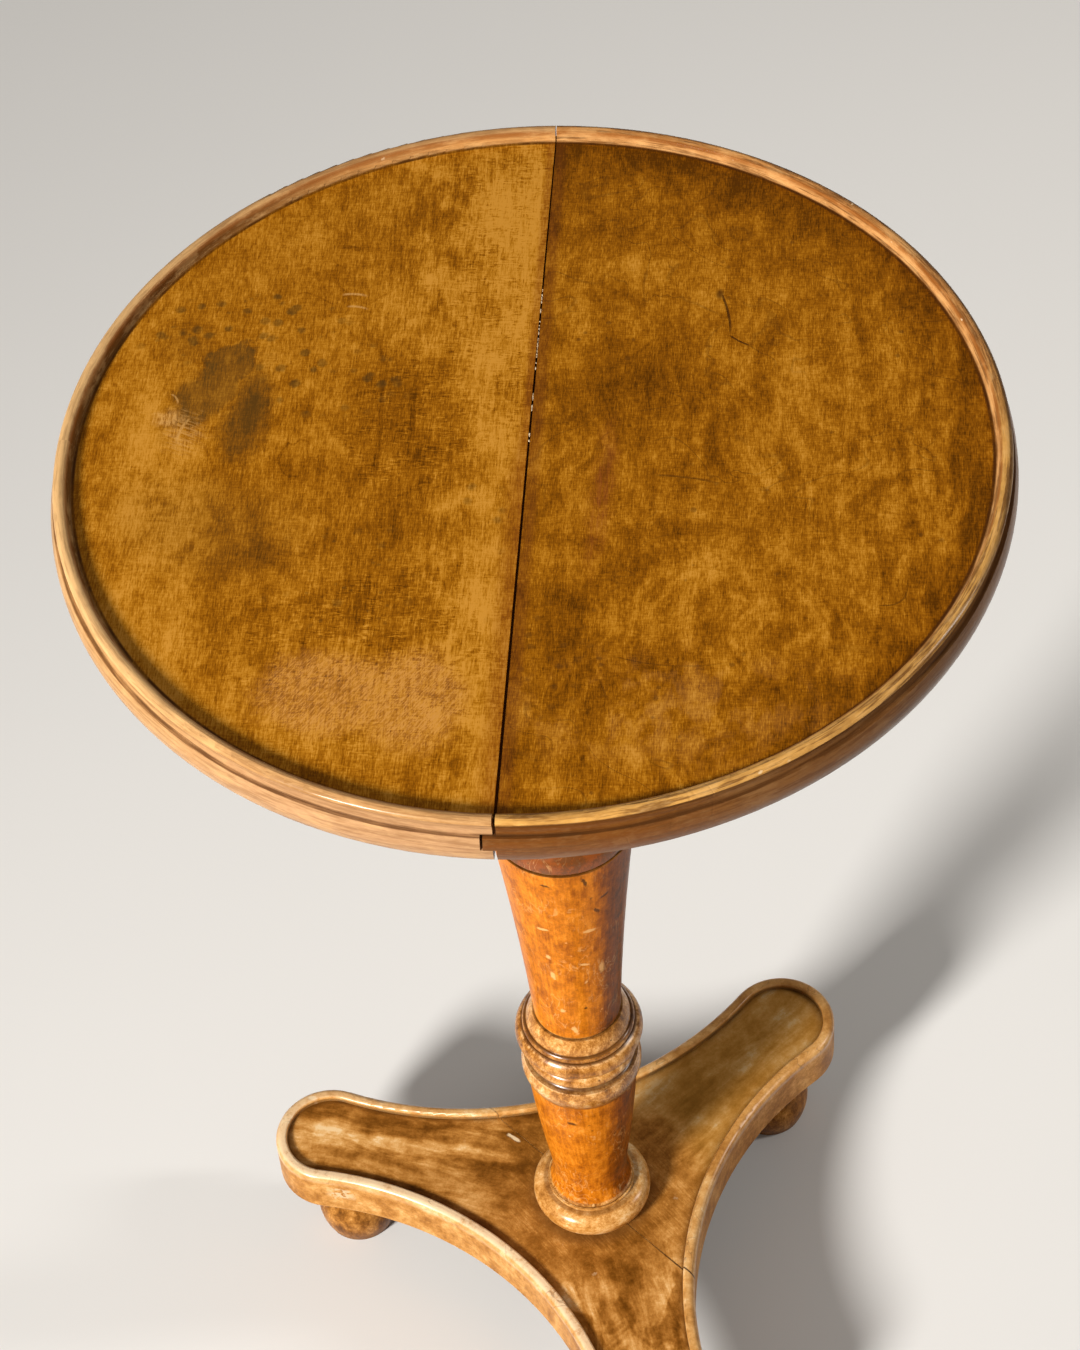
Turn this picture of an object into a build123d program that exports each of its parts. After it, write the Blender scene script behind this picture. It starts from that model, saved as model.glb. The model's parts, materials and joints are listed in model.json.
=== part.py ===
from build123d import *
import os
from math import atan2, cos, degrees, radians, sin, sqrt

# Tilt-top tripod table. Millimetres, +Z up. The origin is on the floor, on the pillar's axis.
# The seam of the top and the tilt axis both run along Y. The top tips to the +X side.

# ---------------------------------------------------------------- clearances
glue_clearance = 0.05        # round tenon or pin in its glued or driven hole, per side
running_clearance = 0.05     # pivot pin in the bearer's bore, per side
slide_clearance = 0.3        # bolt in its case, and knob stem in its slot, per side
bolt_top_clearance = 0.7     # bolt under the catch plate, where the leaf spring presses
swing_clearance = 0.3        # rounded edge of the block under the top
cut_margin = 1.0             # a cut runs past the wood or metal by this much

# ---------------------------------------------------------------- overall heights
table_height = 710.0         # floor to the crest of the top's rim
foot_height = 52.0
platform_thickness = 32.0
platform_recess = 4.0        # panel of the platform below its raised lip

# ---------------------------------------------------------------- round top
top_radius = 219.0
top_thickness = 24.0         # crest of the rim to the underside
dish_depth = 5.5
panel_inset = 11.2           # rim's edge to the flat of the dish
cove_width = 2.0             # hollow at the foot of the rim's steep inner wall
cove_height = 1.6
crest_inner_inset = 8.4
crest_inset = 5.8
crest_outer_inset = 2.8
crest_drop = 0.9             # crest's inner edge below its top
shoulder_drop = 2.2          # crest's outer edge below its top
waist_inset = 3.9            # hollow between the crest and the lower bead
waist_drop = 5.8
quirk_inset = 3.5
quirk_drop = 9.3
bead_edge_inset = 1.6
bead_foot_step = 1.0         # underside's edge inside the bead's foot
bead_foot_rise = 0.7         # bead's foot above the underside

# seam between the two boards
seam_x = -0.8                # edge of the right board
seam_gap_front = 1.5         # the left board has shrunk and opened the seam
seam_gap_back = 0.6
tongue_length = 5.6
tongue_thickness = 6.0
tongue_side_clearance = 0.15
tongue_tip_clearance = 0.3   # at the back, where the seam is tightest

# ---------------------------------------------------------------- platform
lobe_circle_radius = 161.8   # pillar's axis to the centre of each lobe
lobe_radius = 32.0
bay_radius = 206.6           # hollow curve between two lobes
lobe_twist = -11.7           # the base sits turned a little against the seam
lip_width = 6.8
lip_outer_round = 3.6
lip_inner_round = 1.6
platform_lower_round = 2.5
platform_joint_angle = -41.5
platform_joint_offset = 2.5  # glue joint beside the pillar's axis
platform_joint_gap = 0.25    # the old glue line stands open

# ---------------------------------------------------------------- feet
foot_inset = 11.8            # lobe's centre to the foot's, towards the pillar
foot_sole_radius = 20.5
foot_sole_round = 1.5
foot_belly_radius = 24.0
foot_belly_height = 20.0
foot_neck_radius = 16.5
foot_neck_length = 3.0       # below the collar
foot_collar_radius = 19.0
foot_collar_height = 7.0
foot_tenon_radius = 9.0
foot_tenon_length = 20.0

# ---------------------------------------------------------------- pillar, from the floor up
tenon_radius = 16.0
spigot_radius = 21.0         # inside the base collar
collar_radius = 34.0
collar_torus_height = 17.0
collar_torus_relief = 0.25   # a roll stands out by half its height, less its relief
collar_fillet_radius = 25.0
collar_fillet_height = 2.0
flare_radius = 24.0
flare_height = 2.0
cavetto_height = 14.0
cavetto_hollow = 1.2
lower_taper_height = 98.6
lower_taper_foot_radius = 20.8
lower_taper_middle_radius = 26.6
lower_taper_head_radius = 30.8
lower_ring_height = 15.0
lower_ring_foot_radius = 31.4
lower_ring_head_radius = 31.8
lower_ring_bulge = 1.8
lower_cove_height = 2.2
lower_cove_head_radius = 28.4
lower_cove_hollow = 1.0
bead_height = 9.8
bead_radius = 31.3
torus_neck_height = 5.6
torus_neck_radius = 29.0
torus_height = 10.8
torus_radius = 35.2
torus_nose_height = 4.0      # its widest point above its foot
torus_head_radius = 31.2
fillet_height = 3.6
fillet_foot_radius = 30.7
fillet_radius = 29.7
fillet_bulge = 0.7
slope_height = 9.4
slope_foot_radius = 28.9
slope_head_radius = 24.9
slope_bulge = 0.6
groove_height = 1.5
groove_radius = 23.4
trumpet_height = 162.0
trumpet_foot_radius = 23.9
trumpet_middle_radius = 29.3
trumpet_head_radius = 37.2
shoulder_groove_height = 0.8
shoulder_height = 14.7
shoulder_radius = 36.8
shoulder_nose_height = 1.2
shoulder_head_radius = 30.0
neck_fillet_height = 3.0
neck_fillet_radius = 28.0
upper_cove_height = 8.0
upper_cove_hollow = 1.0
upper_shaft_foot_radius = 24.5
upper_shaft_middle_radius = 22.8
upper_shaft_head_radius = 19.5
astragal_height = 7.0
astragal_radius = 24.0
bell_height = 28.0
bell_foot_radius = 20.0
bell_hollow = 3.0
bell_head_radius = 29.5
capital_height = 13.0
capital_radius = 34.0
capital_relief = 0.5
wedge_length = 20.0
wedge_width = 3.6            # at the end of the tenon
wedge_tip_width = 1.4

# ---------------------------------------------------------------- block and pivots
block_length = 100.0         # along X
block_width = 96.0           # along Y, between the bearers
block_thickness = 28.0
edge_step = 1.0              # flat of the block runs past its rounding by this much
pin_radius = 5.0
pin_depth = 25.0             # in the block
pin_head_radius = 8.5
pin_head_height = 3.5
pin_head_round = 2.1
pin_head_clearance = 0.3
pin_slot_width = 1.4
pin_slot_depth = 1.4

# ---------------------------------------------------------------- bearers
bearer_gap = 0.5             # beside the block
bearer_width = 22.0
bearer_half_length = 170.0
bearer_flat_half_length = 128.0
bearer_end_depth = 12.0
bearer_edge_round = 2.0
bearer_screw_places = (-115.0, -45.0, 70.0, 115.0)
bearer_screw_bite = 10.0     # in the top
bearer_screw_radius = 2.3
bearer_screw_head_radius = 4.6

# ---------------------------------------------------------------- screws
screw_slot_share = 0.4         # slot's depth in the head's height
screw_slot_width_share = 0.5   # slot's width in the shank's radius

# ---------------------------------------------------------------- catch and keeper
bolt_travel = 9.0
bolt_length = 50.0
bolt_width = 12.0
bolt_thickness = 6.0
bolt_nose_bevel = 1.0
bolt_nose_gap = 3.5          # drawn back, from the block's face to the nose
spring_groove_width = 7.0
spring_groove_depth = 2.0
spring_width = 6.0
spring_thickness = 0.5
spring_length = 26.0
spring_front_cover = 12.0    # nose of the bolt to the front end of the spring
catch_plate_length = 64.0
catch_plate_flange = 9.2     # beside the case
catch_plate_thickness = 2.0
catch_plate_round = 4.0
catch_plate_gap = 4.0        # to the block's face
case_front_gap = 8.0         # to the block's face
case_wall = 5.5              # beside the bolt
case_floor = 4.0             # under the bolt
case_back_wall = 4.0
case_round = 2.5
catch_screw_inset = 4.8
catch_screw_length = 12.0
catch_screw_radius = 1.5
catch_screw_head_radius = 3.0
knob_stem_radius = 2.6
knob_stem_seat = 3.0         # screwed into the bolt
knob_place = 30.5            # nose of the bolt to the knob
knob_neck_length = 5.0       # below the case
knob_radius = 7.0
knob_height = 9.0
keeper_width = 46.0
keeper_height = 18.0
keeper_thickness = 2.0
keeper_slot_clearance = 0.6
mortise_spare = 4.0          # beyond the bolt's full reach
keeper_screw_spacing = 32.0

# ---------------------------------------------------------------- worked out from the sizes above
platform_top = foot_height + platform_thickness
platform_panel = platform_top - platform_recess
top_underside = table_height - top_thickness
top_panel = table_height - dish_depth
block_underside = top_underside - block_thickness
panel_radius = top_radius - panel_inset
foot_circle_radius = lobe_circle_radius - foot_inset
pivot_drop = block_thickness / 2
pivot_x = block_length / 2 - pivot_drop
pivot_z = top_underside - pivot_drop
block_face = -block_length / 2
bearer_middle = block_width / 2 + bearer_gap + bearer_width / 2
bolt_top = top_underside - catch_plate_thickness - bolt_top_clearance
bolt_bottom = bolt_top - bolt_thickness
bolt_nose = block_face - bolt_nose_gap
bolt_tail = bolt_nose - bolt_length
knob_x = bolt_nose - knob_place
case_underside = bolt_bottom - slide_clearance - case_floor
catch_plate_underside = top_underside - catch_plate_thickness


def export(part, name):
    """Name a finished piece and write it as its own node."""
    part.label = name
    export_step(part, f"parts/{name}.step")


def vertical_plane(x, y):
    """Plane whose X is the row's X and whose Y is up, through the point (x, y) of the floor."""
    return Plane(origin=(x, y, 0), x_dir=(1, 0, 0), z_dir=(0, -1, 0))


def wood_screw(length, shank_radius, head_radius):
    """Countersunk slotted screw: head at the origin, point down -Z."""
    head_height = head_radius - shank_radius
    point_length = 2 * shank_radius
    slot_depth = head_height * screw_slot_share
    with BuildPart() as screw:
        with BuildSketch(Plane.XZ):
            with BuildLine():
                Polyline(
                    (0, 0),
                    (head_radius, 0),
                    (shank_radius, -head_height),
                    (shank_radius, -length + point_length),
                    (0, -length),
                    close=True,
                )
            make_face()
        revolve(axis=Axis.Z)
        slot_length = 2 * (head_radius + cut_margin)
        Box(slot_length, shank_radius * screw_slot_width_share, 2 * slot_depth, mode=Mode.SUBTRACT)
    return screw.part


def screw_group(screw, places):
    """The same screw at each place, as one node of separate solids."""
    return Compound(children=[screw.located(place) for place in places])


os.makedirs("parts", exist_ok=True)

# ================================================================ platform
# Three round lobes joined by hollow curves that meet them tangentially.
bay_distance = lobe_circle_radius / 2 + sqrt(
    (bay_radius + lobe_radius) ** 2 - 3 / 4 * lobe_circle_radius**2
)
bay_waist = bay_distance - bay_radius


def polar(radius, angle):
    """Point at a radius and an angle, in degrees, from the pillar's axis."""
    return Vector(radius * cos(radians(angle)), radius * sin(radians(angle)))


lobe_angles = {
    "front": lobe_twist - 60,
    "right": lobe_twist + 60,
    "left": lobe_twist + 180,
}

with BuildSketch() as trefoil:
    with BuildLine():
        for lobe_angle in lobe_angles.values():
            lobe = polar(lobe_circle_radius, lobe_angle)
            bay_before = polar(bay_distance, lobe_angle - 60)
            bay_after = polar(bay_distance, lobe_angle + 60)
            bay_next = polar(lobe_circle_radius, lobe_angle + 120)
            start = lobe + (bay_before - lobe).normalized() * lobe_radius
            end = lobe + (bay_after - lobe).normalized() * lobe_radius
            bay_end = bay_next + (bay_after - bay_next).normalized() * lobe_radius
            ThreePointArc(start, polar(lobe_circle_radius + lobe_radius, lobe_angle), end)
            ThreePointArc(end, polar(bay_waist, lobe_angle + 60), bay_end)
    make_face()

with BuildPart() as platform_blank:
    with BuildSketch(Plane.XY.offset(foot_height)):
        add(trefoil.sketch)
    extrude(amount=platform_thickness)
    with BuildSketch(Plane.XY.offset(platform_top)):
        offset(trefoil.sketch, amount=-lip_width)
    extrude(amount=-platform_recess, mode=Mode.SUBTRACT)
    lip = platform_blank.faces().sort_by(Axis.Z)[-1]
    fillet(lip.outer_wire().edges(), lip_outer_round)
    lip = platform_blank.faces().filter_by(Axis.Z).sort_by(Axis.Z)[-1]
    fillet(lip.inner_wires()[0].edges(), lip_inner_round)
    underside = platform_blank.faces().sort_by(Axis.Z)[0]
    fillet(underside.outer_wire().edges(), platform_lower_round)
    with BuildSketch(Plane.XY.offset(foot_height)):
        Circle(tenon_radius + glue_clearance)
    extrude(amount=platform_thickness, mode=Mode.SUBTRACT)
    with BuildSketch(Plane.XY.offset(foot_height)):
        with PolarLocations(foot_circle_radius, 3, start_angle=lobe_angles["front"]):
            Circle(foot_tenon_radius + glue_clearance)
    extrude(amount=foot_tenon_length + glue_clearance, mode=Mode.SUBTRACT)

joint_direction = polar(1, platform_joint_angle)
joint_normal = polar(1, platform_joint_angle + 90)
platform_joint = Plane(
    origin=joint_normal * -platform_joint_offset, x_dir=joint_direction, z_dir=joint_normal
)

with BuildPart() as platform_board_back:
    add(platform_blank.part)
    split(bisect_by=platform_joint.offset(platform_joint_gap / 2), keep=Keep.TOP)
export(platform_board_back.part, "platform_board_back")

with BuildPart() as platform_board_front:
    add(platform_blank.part)
    split(bisect_by=platform_joint.offset(-platform_joint_gap / 2), keep=Keep.BOTTOM)
export(platform_board_front.part, "platform_board_front")

# ================================================================ feet
for lobe_name, lobe_angle in lobe_angles.items():
    centre = polar(foot_circle_radius, lobe_angle)
    collar_start = foot_height - foot_collar_height
    foot_neck_height = collar_start - foot_neck_length
    with BuildPart() as foot:
        with BuildSketch(vertical_plane(centre.X, centre.Y)):
            with BuildLine():
                Line((0, 0), (foot_sole_radius - foot_sole_round, 0))
                RadiusArc(
                    (foot_sole_radius - foot_sole_round, 0),
                    (foot_sole_radius, foot_sole_round),
                    -foot_sole_round,
                )
                belly = TangentArc(
                    (foot_belly_radius, foot_belly_height),
                    (foot_sole_radius, foot_sole_round),
                    tangent=(0, -1),
                )
                shoulder = TangentArc(
                    (foot_belly_radius, foot_belly_height),
                    (foot_neck_radius, foot_neck_height),
                    tangent=(0, 1),
                )
                Polyline(
                    (foot_neck_radius, foot_neck_height),
                    (foot_neck_radius, collar_start),
                    (foot_collar_radius, collar_start),
                    (foot_collar_radius, foot_height),
                    (foot_tenon_radius, foot_height),
                    (foot_tenon_radius, foot_height + foot_tenon_length),
                    (0, foot_height + foot_tenon_length),
                    (0, 0),
                )
            make_face()
        revolve(axis=Axis((centre.X, centre.Y, 0), (0, 0, 1)))
    export(foot.part, f"foot_{lobe_name}")

# ================================================================ pillar
collar_top = platform_panel + collar_torus_height + collar_fillet_height

with BuildPart() as base_collar:
    with BuildSketch(Plane.XZ):
        with BuildLine():
            bore = spigot_radius + glue_clearance
            torus_top = platform_panel + collar_torus_height
            torus_root = collar_radius - collar_torus_height / 2 + collar_torus_relief
            Polyline((torus_root, platform_panel), (bore, platform_panel), (bore, collar_top))
            Polyline(
                (bore, collar_top),
                (collar_fillet_radius, collar_top),
                (collar_fillet_radius, torus_top),
                (torus_root, torus_top),
            )
            ThreePointArc(
                (torus_root, torus_top),
                (collar_radius, platform_panel + collar_torus_height / 2),
                (torus_root, platform_panel),
            )
        make_face()
    revolve(axis=Axis.Z)
export(base_collar.part, "base_collar")

# Heights of the turned members, each stacked on the one below.
flare_top = collar_top + flare_height
cavetto_top = flare_top + cavetto_height
lower_taper_top = cavetto_top + lower_taper_height
lower_ring_top = lower_taper_top + lower_ring_height
lower_cove_top = lower_ring_top + lower_cove_height
bead_top = lower_cove_top + bead_height
torus_foot = bead_top + torus_neck_height
torus_top = torus_foot + torus_height
fillet_top = torus_top + fillet_height
slope_top = fillet_top + slope_height
groove_top = slope_top + groove_height
trumpet_top = groove_top + trumpet_height
shoulder_foot = trumpet_top + shoulder_groove_height
shoulder_top = shoulder_foot + shoulder_height
neck_fillet_top = shoulder_top + neck_fillet_height
upper_cove_top = neck_fillet_top + upper_cove_height
capital_foot = block_underside - capital_height
bell_foot = capital_foot - bell_height
astragal_foot = bell_foot - astragal_height


def turned_arc(foot, head, hollow):
    """Curved member between two (radius, height) points; a positive hollow curves it inward."""
    middle = ((foot[0] + head[0]) / 2 - hollow, (foot[1] + head[1]) / 2)
    ThreePointArc(foot, middle, head)


def turned_roll(root, radius, low, high):
    """Half-round member standing out from its root radius to its full radius."""
    ThreePointArc((root, low), (radius, (low + high) / 2), (root, high))


def turned_nose(radius, low, nose, head):
    """Roll with its widest point low down, at the nose; it ends at the head (radius, height)."""
    TangentArc((radius, nose), (radius - (nose - low), low), tangent=(0, -1))
    TangentArc((radius, nose), head, tangent=(0, 1))


def tenon_wedge(end_height, inward):
    """Wedge-shaped outline across a tenon, driven from its end towards the pillar."""
    tip_height = end_height + inward * wedge_length
    Polyline(
        (-wedge_width / 2, end_height),
        (wedge_width / 2, end_height),
        (wedge_tip_width / 2, tip_height),
        (-wedge_tip_width / 2, tip_height),
        close=True,
    )


wedges = {"bottom": (foot_height, 1), "top": (top_underside, -1)}

with BuildPart() as pillar:
    with BuildSketch(Plane.XZ):
        with BuildLine():
            Polyline(
                (0, foot_height),
                (tenon_radius, foot_height),
                (tenon_radius, platform_panel),
                (spigot_radius, platform_panel),
                (spigot_radius, collar_top),
                (flare_radius, collar_top),
                (flare_radius, flare_top),
            )
            turned_arc((flare_radius, flare_top), (lower_taper_foot_radius, cavetto_top), cavetto_hollow)
            ThreePointArc(
                (lower_taper_foot_radius, cavetto_top),
                (lower_taper_middle_radius, (cavetto_top + lower_taper_top) / 2),
                (lower_taper_head_radius, lower_taper_top),
            )
            Line((lower_taper_head_radius, lower_taper_top), (lower_ring_foot_radius, lower_taper_top))
            turned_arc(
                (lower_ring_foot_radius, lower_taper_top),
                (lower_ring_head_radius, lower_ring_top),
                -lower_ring_bulge,
            )
            turned_arc(
                (lower_ring_head_radius, lower_ring_top),
                (lower_cove_head_radius, lower_cove_top),
                lower_cove_hollow,
            )
            bead_root = bead_radius - bead_height / 2
            Line((lower_cove_head_radius, lower_cove_top), (bead_root, lower_cove_top))
            turned_roll(bead_root, bead_radius, lower_cove_top, bead_top)
            Polyline(
                (bead_root, bead_top),
                (torus_neck_radius, bead_top),
                (torus_neck_radius, torus_foot),
                (torus_radius - torus_nose_height, torus_foot),
            )
            turned_nose(
                torus_radius,
                torus_foot,
                torus_foot + torus_nose_height,
                (torus_head_radius, torus_top),
            )
            Line((torus_head_radius, torus_top), (fillet_foot_radius, torus_top))
            turned_arc((fillet_foot_radius, torus_top), (fillet_radius, fillet_top), -fillet_bulge)
            Line((fillet_radius, fillet_top), (slope_foot_radius, fillet_top))
            turned_arc(
                (slope_foot_radius, fillet_top),
                (slope_head_radius, slope_top),
                -slope_bulge,
            )
            Polyline(
                (slope_head_radius, slope_top),
                (groove_radius, slope_top),
                (groove_radius, groove_top),
                (trumpet_foot_radius, groove_top),
            )
            ThreePointArc(
                (trumpet_foot_radius, groove_top),
                (trumpet_middle_radius, (groove_top + trumpet_top) / 2),
                (trumpet_head_radius, trumpet_top),
            )
            shoulder_groove_radius = shoulder_radius - shoulder_nose_height
            Polyline(
                (trumpet_head_radius, trumpet_top),
                (shoulder_groove_radius, trumpet_top),
                (shoulder_groove_radius, shoulder_foot),
            )
            turned_nose(
                shoulder_radius,
                shoulder_foot,
                shoulder_foot + shoulder_nose_height,
                (shoulder_head_radius, shoulder_top),
            )
            Polyline(
                (shoulder_head_radius, shoulder_top),
                (neck_fillet_radius, shoulder_top),
                (neck_fillet_radius, neck_fillet_top),
            )
            turned_arc(
                (neck_fillet_radius, neck_fillet_top),
                (upper_shaft_foot_radius, upper_cove_top),
                upper_cove_hollow,
            )
            ThreePointArc(
                (upper_shaft_foot_radius, upper_cove_top),
                (upper_shaft_middle_radius, (upper_cove_top + astragal_foot) / 2),
                (upper_shaft_head_radius, astragal_foot),
            )
            astragal_root = astragal_radius - astragal_height / 2
            Line((upper_shaft_head_radius, astragal_foot), (astragal_root, astragal_foot))
            turned_roll(astragal_root, astragal_radius, astragal_foot, bell_foot)
            Line((astragal_root, bell_foot), (bell_foot_radius, bell_foot))
            turned_arc((bell_foot_radius, bell_foot), (bell_head_radius, capital_foot), bell_hollow)
            capital_root = capital_radius - capital_height / 2 + capital_relief
            Line((bell_head_radius, capital_foot), (capital_root, capital_foot))
            turned_roll(capital_root, capital_radius, capital_foot, block_underside)
            Polyline(
                (capital_root, block_underside),
                (tenon_radius, block_underside),
                (tenon_radius, top_underside),
                (0, top_underside),
                (0, foot_height),
            )
        make_face()
    revolve(axis=Axis.Z)
    for end_height, inward in wedges.values():
        with BuildSketch(Plane.XZ):
            with BuildLine():
                tenon_wedge(end_height, inward)
            make_face()
        extrude(amount=2 * tenon_radius, both=True, mode=Mode.SUBTRACT)
export(pillar.part, "pillar")

for end_name, (end_height, inward) in wedges.items():
    with BuildPart() as pillar_wedge:
        with BuildSketch(Plane.XZ):
            with BuildLine():
                tenon_wedge(end_height, inward)
            make_face()
        extrude(amount=2 * tenon_radius, both=True)
        with BuildSketch(Plane.XY.offset(end_height)):
            Circle(tenon_radius)
        extrude(amount=inward * wedge_length, mode=Mode.INTERSECT)
    export(pillar_wedge.part, f"pillar_wedge_{end_name}")

# ================================================================ block
keeper_middle = top_underside - keeper_height / 2
bolt_middle = (bolt_top + bolt_bottom) / 2
face_plane = Plane(origin=(block_face, 0, 0), x_dir=(0, -1, 0), z_dir=(-1, 0, 0))
bolt_reach = bolt_travel - bolt_nose_gap
keeper_screw = wood_screw(catch_screw_length, catch_screw_radius, catch_screw_head_radius)
keeper_screw_plane = Plane(
    origin=(block_face, 0, keeper_middle), x_dir=(0, -1, 0), z_dir=(-1, 0, 0)
)

with BuildPart() as block:
    with BuildSketch(Plane.XZ):
        with BuildLine():
            edge_radius = pivot_drop - swing_clearance
            right_face = block_length / 2
            Polyline(
                (pivot_x, pivot_z + edge_radius),
                (pivot_x - edge_step, top_underside),
                (block_face, top_underside),
                (block_face, block_underside),
                (right_face, block_underside),
                (right_face, pivot_z - edge_step),
                (pivot_x + edge_radius, pivot_z),
            )
            RadiusArc((pivot_x + edge_radius, pivot_z), (pivot_x, pivot_z + edge_radius), -edge_radius)
        make_face()
    extrude(amount=block_width / 2, both=True)
    with BuildSketch(Plane.XY.offset(block_underside)):
        Circle(tenon_radius + glue_clearance)
    extrude(amount=block_thickness, mode=Mode.SUBTRACT)
    for side in (-1, 1):
        pin_mouth = Plane(origin=(pivot_x, side * block_width / 2, pivot_z), z_dir=(0, side, 0))
        with BuildSketch(pin_mouth):
            Circle(pin_radius + glue_clearance)
        extrude(amount=-pin_depth, mode=Mode.SUBTRACT)
    with BuildSketch(face_plane):
        with Locations((0, keeper_middle)):
            Rectangle(keeper_width, keeper_height)
    extrude(amount=-keeper_thickness, mode=Mode.SUBTRACT)
    with BuildSketch(face_plane):
        with Locations((0, bolt_middle)):
            Rectangle(bolt_width + 2 * keeper_slot_clearance, bolt_thickness + 2 * keeper_slot_clearance)
    extrude(amount=-(bolt_reach + mortise_spare), mode=Mode.SUBTRACT)
    with Locations(keeper_screw_plane):
        with GridLocations(keeper_screw_spacing, 0, 2, 1):
            Hole(catch_screw_radius + glue_clearance, catch_screw_length)
export(block.part, "block")

with BuildPart() as keeper_plate:
    with BuildSketch(face_plane):
        with Locations((0, keeper_middle)):
            Rectangle(keeper_width, keeper_height)
        with Locations((0, bolt_middle)):
            Rectangle(
                bolt_width + 2 * keeper_slot_clearance,
                bolt_thickness + 2 * keeper_slot_clearance,
                mode=Mode.SUBTRACT,
            )
    extrude(amount=-keeper_thickness)
    with Locations(keeper_screw_plane):
        with GridLocations(keeper_screw_spacing, 0, 2, 1):
            CounterSinkHole(
                catch_screw_radius + glue_clearance,
                catch_screw_head_radius + glue_clearance,
                counter_sink_angle=90,
            )
export(keeper_plate.part, "keeper_plate")

keeper_screw_places = [
    keeper_screw_plane.location * Location((side * keeper_screw_spacing / 2, 0, 0)) for side in (-1, 1)
]
export(screw_group(keeper_screw, keeper_screw_places), "keeper_screws")

# ================================================================ pivot pins
for side_name, side in (("front", -1), ("back", 1)):
    bearer_outside = block_width / 2 + bearer_gap + bearer_width
    head_foot = bearer_outside + pin_head_clearance
    pin_start = block_width / 2 - pin_depth
    pin_axis = Plane(origin=(pivot_x, 0, pivot_z), x_dir=(1, 0, 0), z_dir=(0, side, 0))
    with BuildPart() as pivot_pin:
        with BuildSketch(pin_axis.offset(pin_start)):
            Circle(pin_radius)
        extrude(amount=head_foot - pin_start)
        with BuildSketch(pin_axis.offset(head_foot)):
            Circle(pin_head_radius)
        extrude(amount=pin_head_height)
        rim = pivot_pin.faces().sort_by(Axis.Y)[-1 if side > 0 else 0]
        fillet(rim.edges(), pin_head_round)
        with BuildSketch(pin_axis.offset(head_foot + pin_head_height)):
            Rectangle(2 * (pin_head_radius + cut_margin), pin_slot_width)
        extrude(amount=-pin_slot_depth, mode=Mode.SUBTRACT)
    export(pivot_pin.part, f"pivot_pin_{side_name}")

# ================================================================ bearers
bearer_screw_length = block_thickness + bearer_screw_bite
bearer_screw = wood_screw(bearer_screw_length, bearer_screw_radius, bearer_screw_head_radius)
screw_plane = Plane(origin=(0, 0, block_underside), x_dir=(1, 0, 0), z_dir=(0, 0, -1))
bearer_screw_places = [
    screw_plane.location * Location((x, side * bearer_middle, 0))
    for side in (-1, 1)
    for x in bearer_screw_places
]

for side_name, side in (("front", -1), ("back", 1)):
    with BuildPart() as bearer:
        with BuildSketch(Plane.XZ.offset(-side * bearer_middle)):
            with BuildLine():
                end_underside = top_underside - bearer_end_depth
                Polyline(
                    (-bearer_half_length, top_underside),
                    (-bearer_half_length, end_underside),
                    (-bearer_flat_half_length, block_underside),
                    (bearer_flat_half_length, block_underside),
                    (bearer_half_length, end_underside),
                    (bearer_half_length, top_underside),
                    close=True,
                )
            make_face()
        extrude(amount=bearer_width / 2, both=True)
        underside_and_slopes = bearer.faces().sort_by(Axis.Z)[:3]
        long_edges = underside_and_slopes.edges().filter_by(Axis.Y, reverse=True)
        fillet(long_edges, bearer_edge_round)
        with BuildSketch(Plane.XZ.offset(-side * bearer_middle)):
            with Locations((pivot_x, pivot_z)):
                Circle(pin_radius + running_clearance)
        extrude(amount=bearer_width, both=True, mode=Mode.SUBTRACT)
        with Locations(*[place for place in bearer_screw_places if place.position.Y * side > 0]):
            CounterSinkHole(
                bearer_screw_radius + glue_clearance,
                bearer_screw_head_radius + glue_clearance,
                counter_sink_angle=90,
            )
    export(bearer.part, f"bearer_{side_name}")

export(screw_group(bearer_screw, bearer_screw_places), "bearer_screws")

# ================================================================ catch
case_width = bolt_width + 2 * (slide_clearance + case_wall)
catch_plate_width = case_width + 2 * catch_plate_flange
catch_plate_front = block_face - catch_plate_gap
catch_plate_middle = catch_plate_front - catch_plate_length / 2
catch_screw = wood_screw(catch_screw_length, catch_screw_radius, catch_screw_head_radius)
catch_screw_plane = Plane(
    origin=(catch_plate_middle, 0, catch_plate_underside), x_dir=(1, 0, 0), z_dir=(0, 0, -1)
)
catch_screw_reach_x = catch_plate_length / 2 - catch_screw_inset
catch_screw_reach_y = catch_plate_width / 2 - catch_screw_inset
catch_screw_places = [
    catch_screw_plane.location * Location((end * catch_screw_reach_x, side * catch_screw_reach_y, 0))
    for end in (-1, 1)
    for side in (-1, 1)
]

with BuildPart() as catch_plate:
    with BuildSketch(Plane.XY.offset(catch_plate_underside)):
        with Locations((catch_plate_middle, 0)):
            RectangleRounded(catch_plate_length, catch_plate_width, catch_plate_round)
    extrude(amount=catch_plate_thickness)
    with Locations(*catch_screw_places):
        CounterSinkHole(
            catch_screw_radius + glue_clearance,
            catch_screw_head_radius + glue_clearance,
            counter_sink_angle=90,
        )
export(catch_plate.part, "catch_plate")
export(screw_group(catch_screw, catch_screw_places), "catch_screws")

case_front = block_face - case_front_gap
channel_back = bolt_tail - slide_clearance
case_back = channel_back - case_back_wall
case_length = case_front - case_back
slot_half_width = knob_stem_radius + slide_clearance

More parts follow.
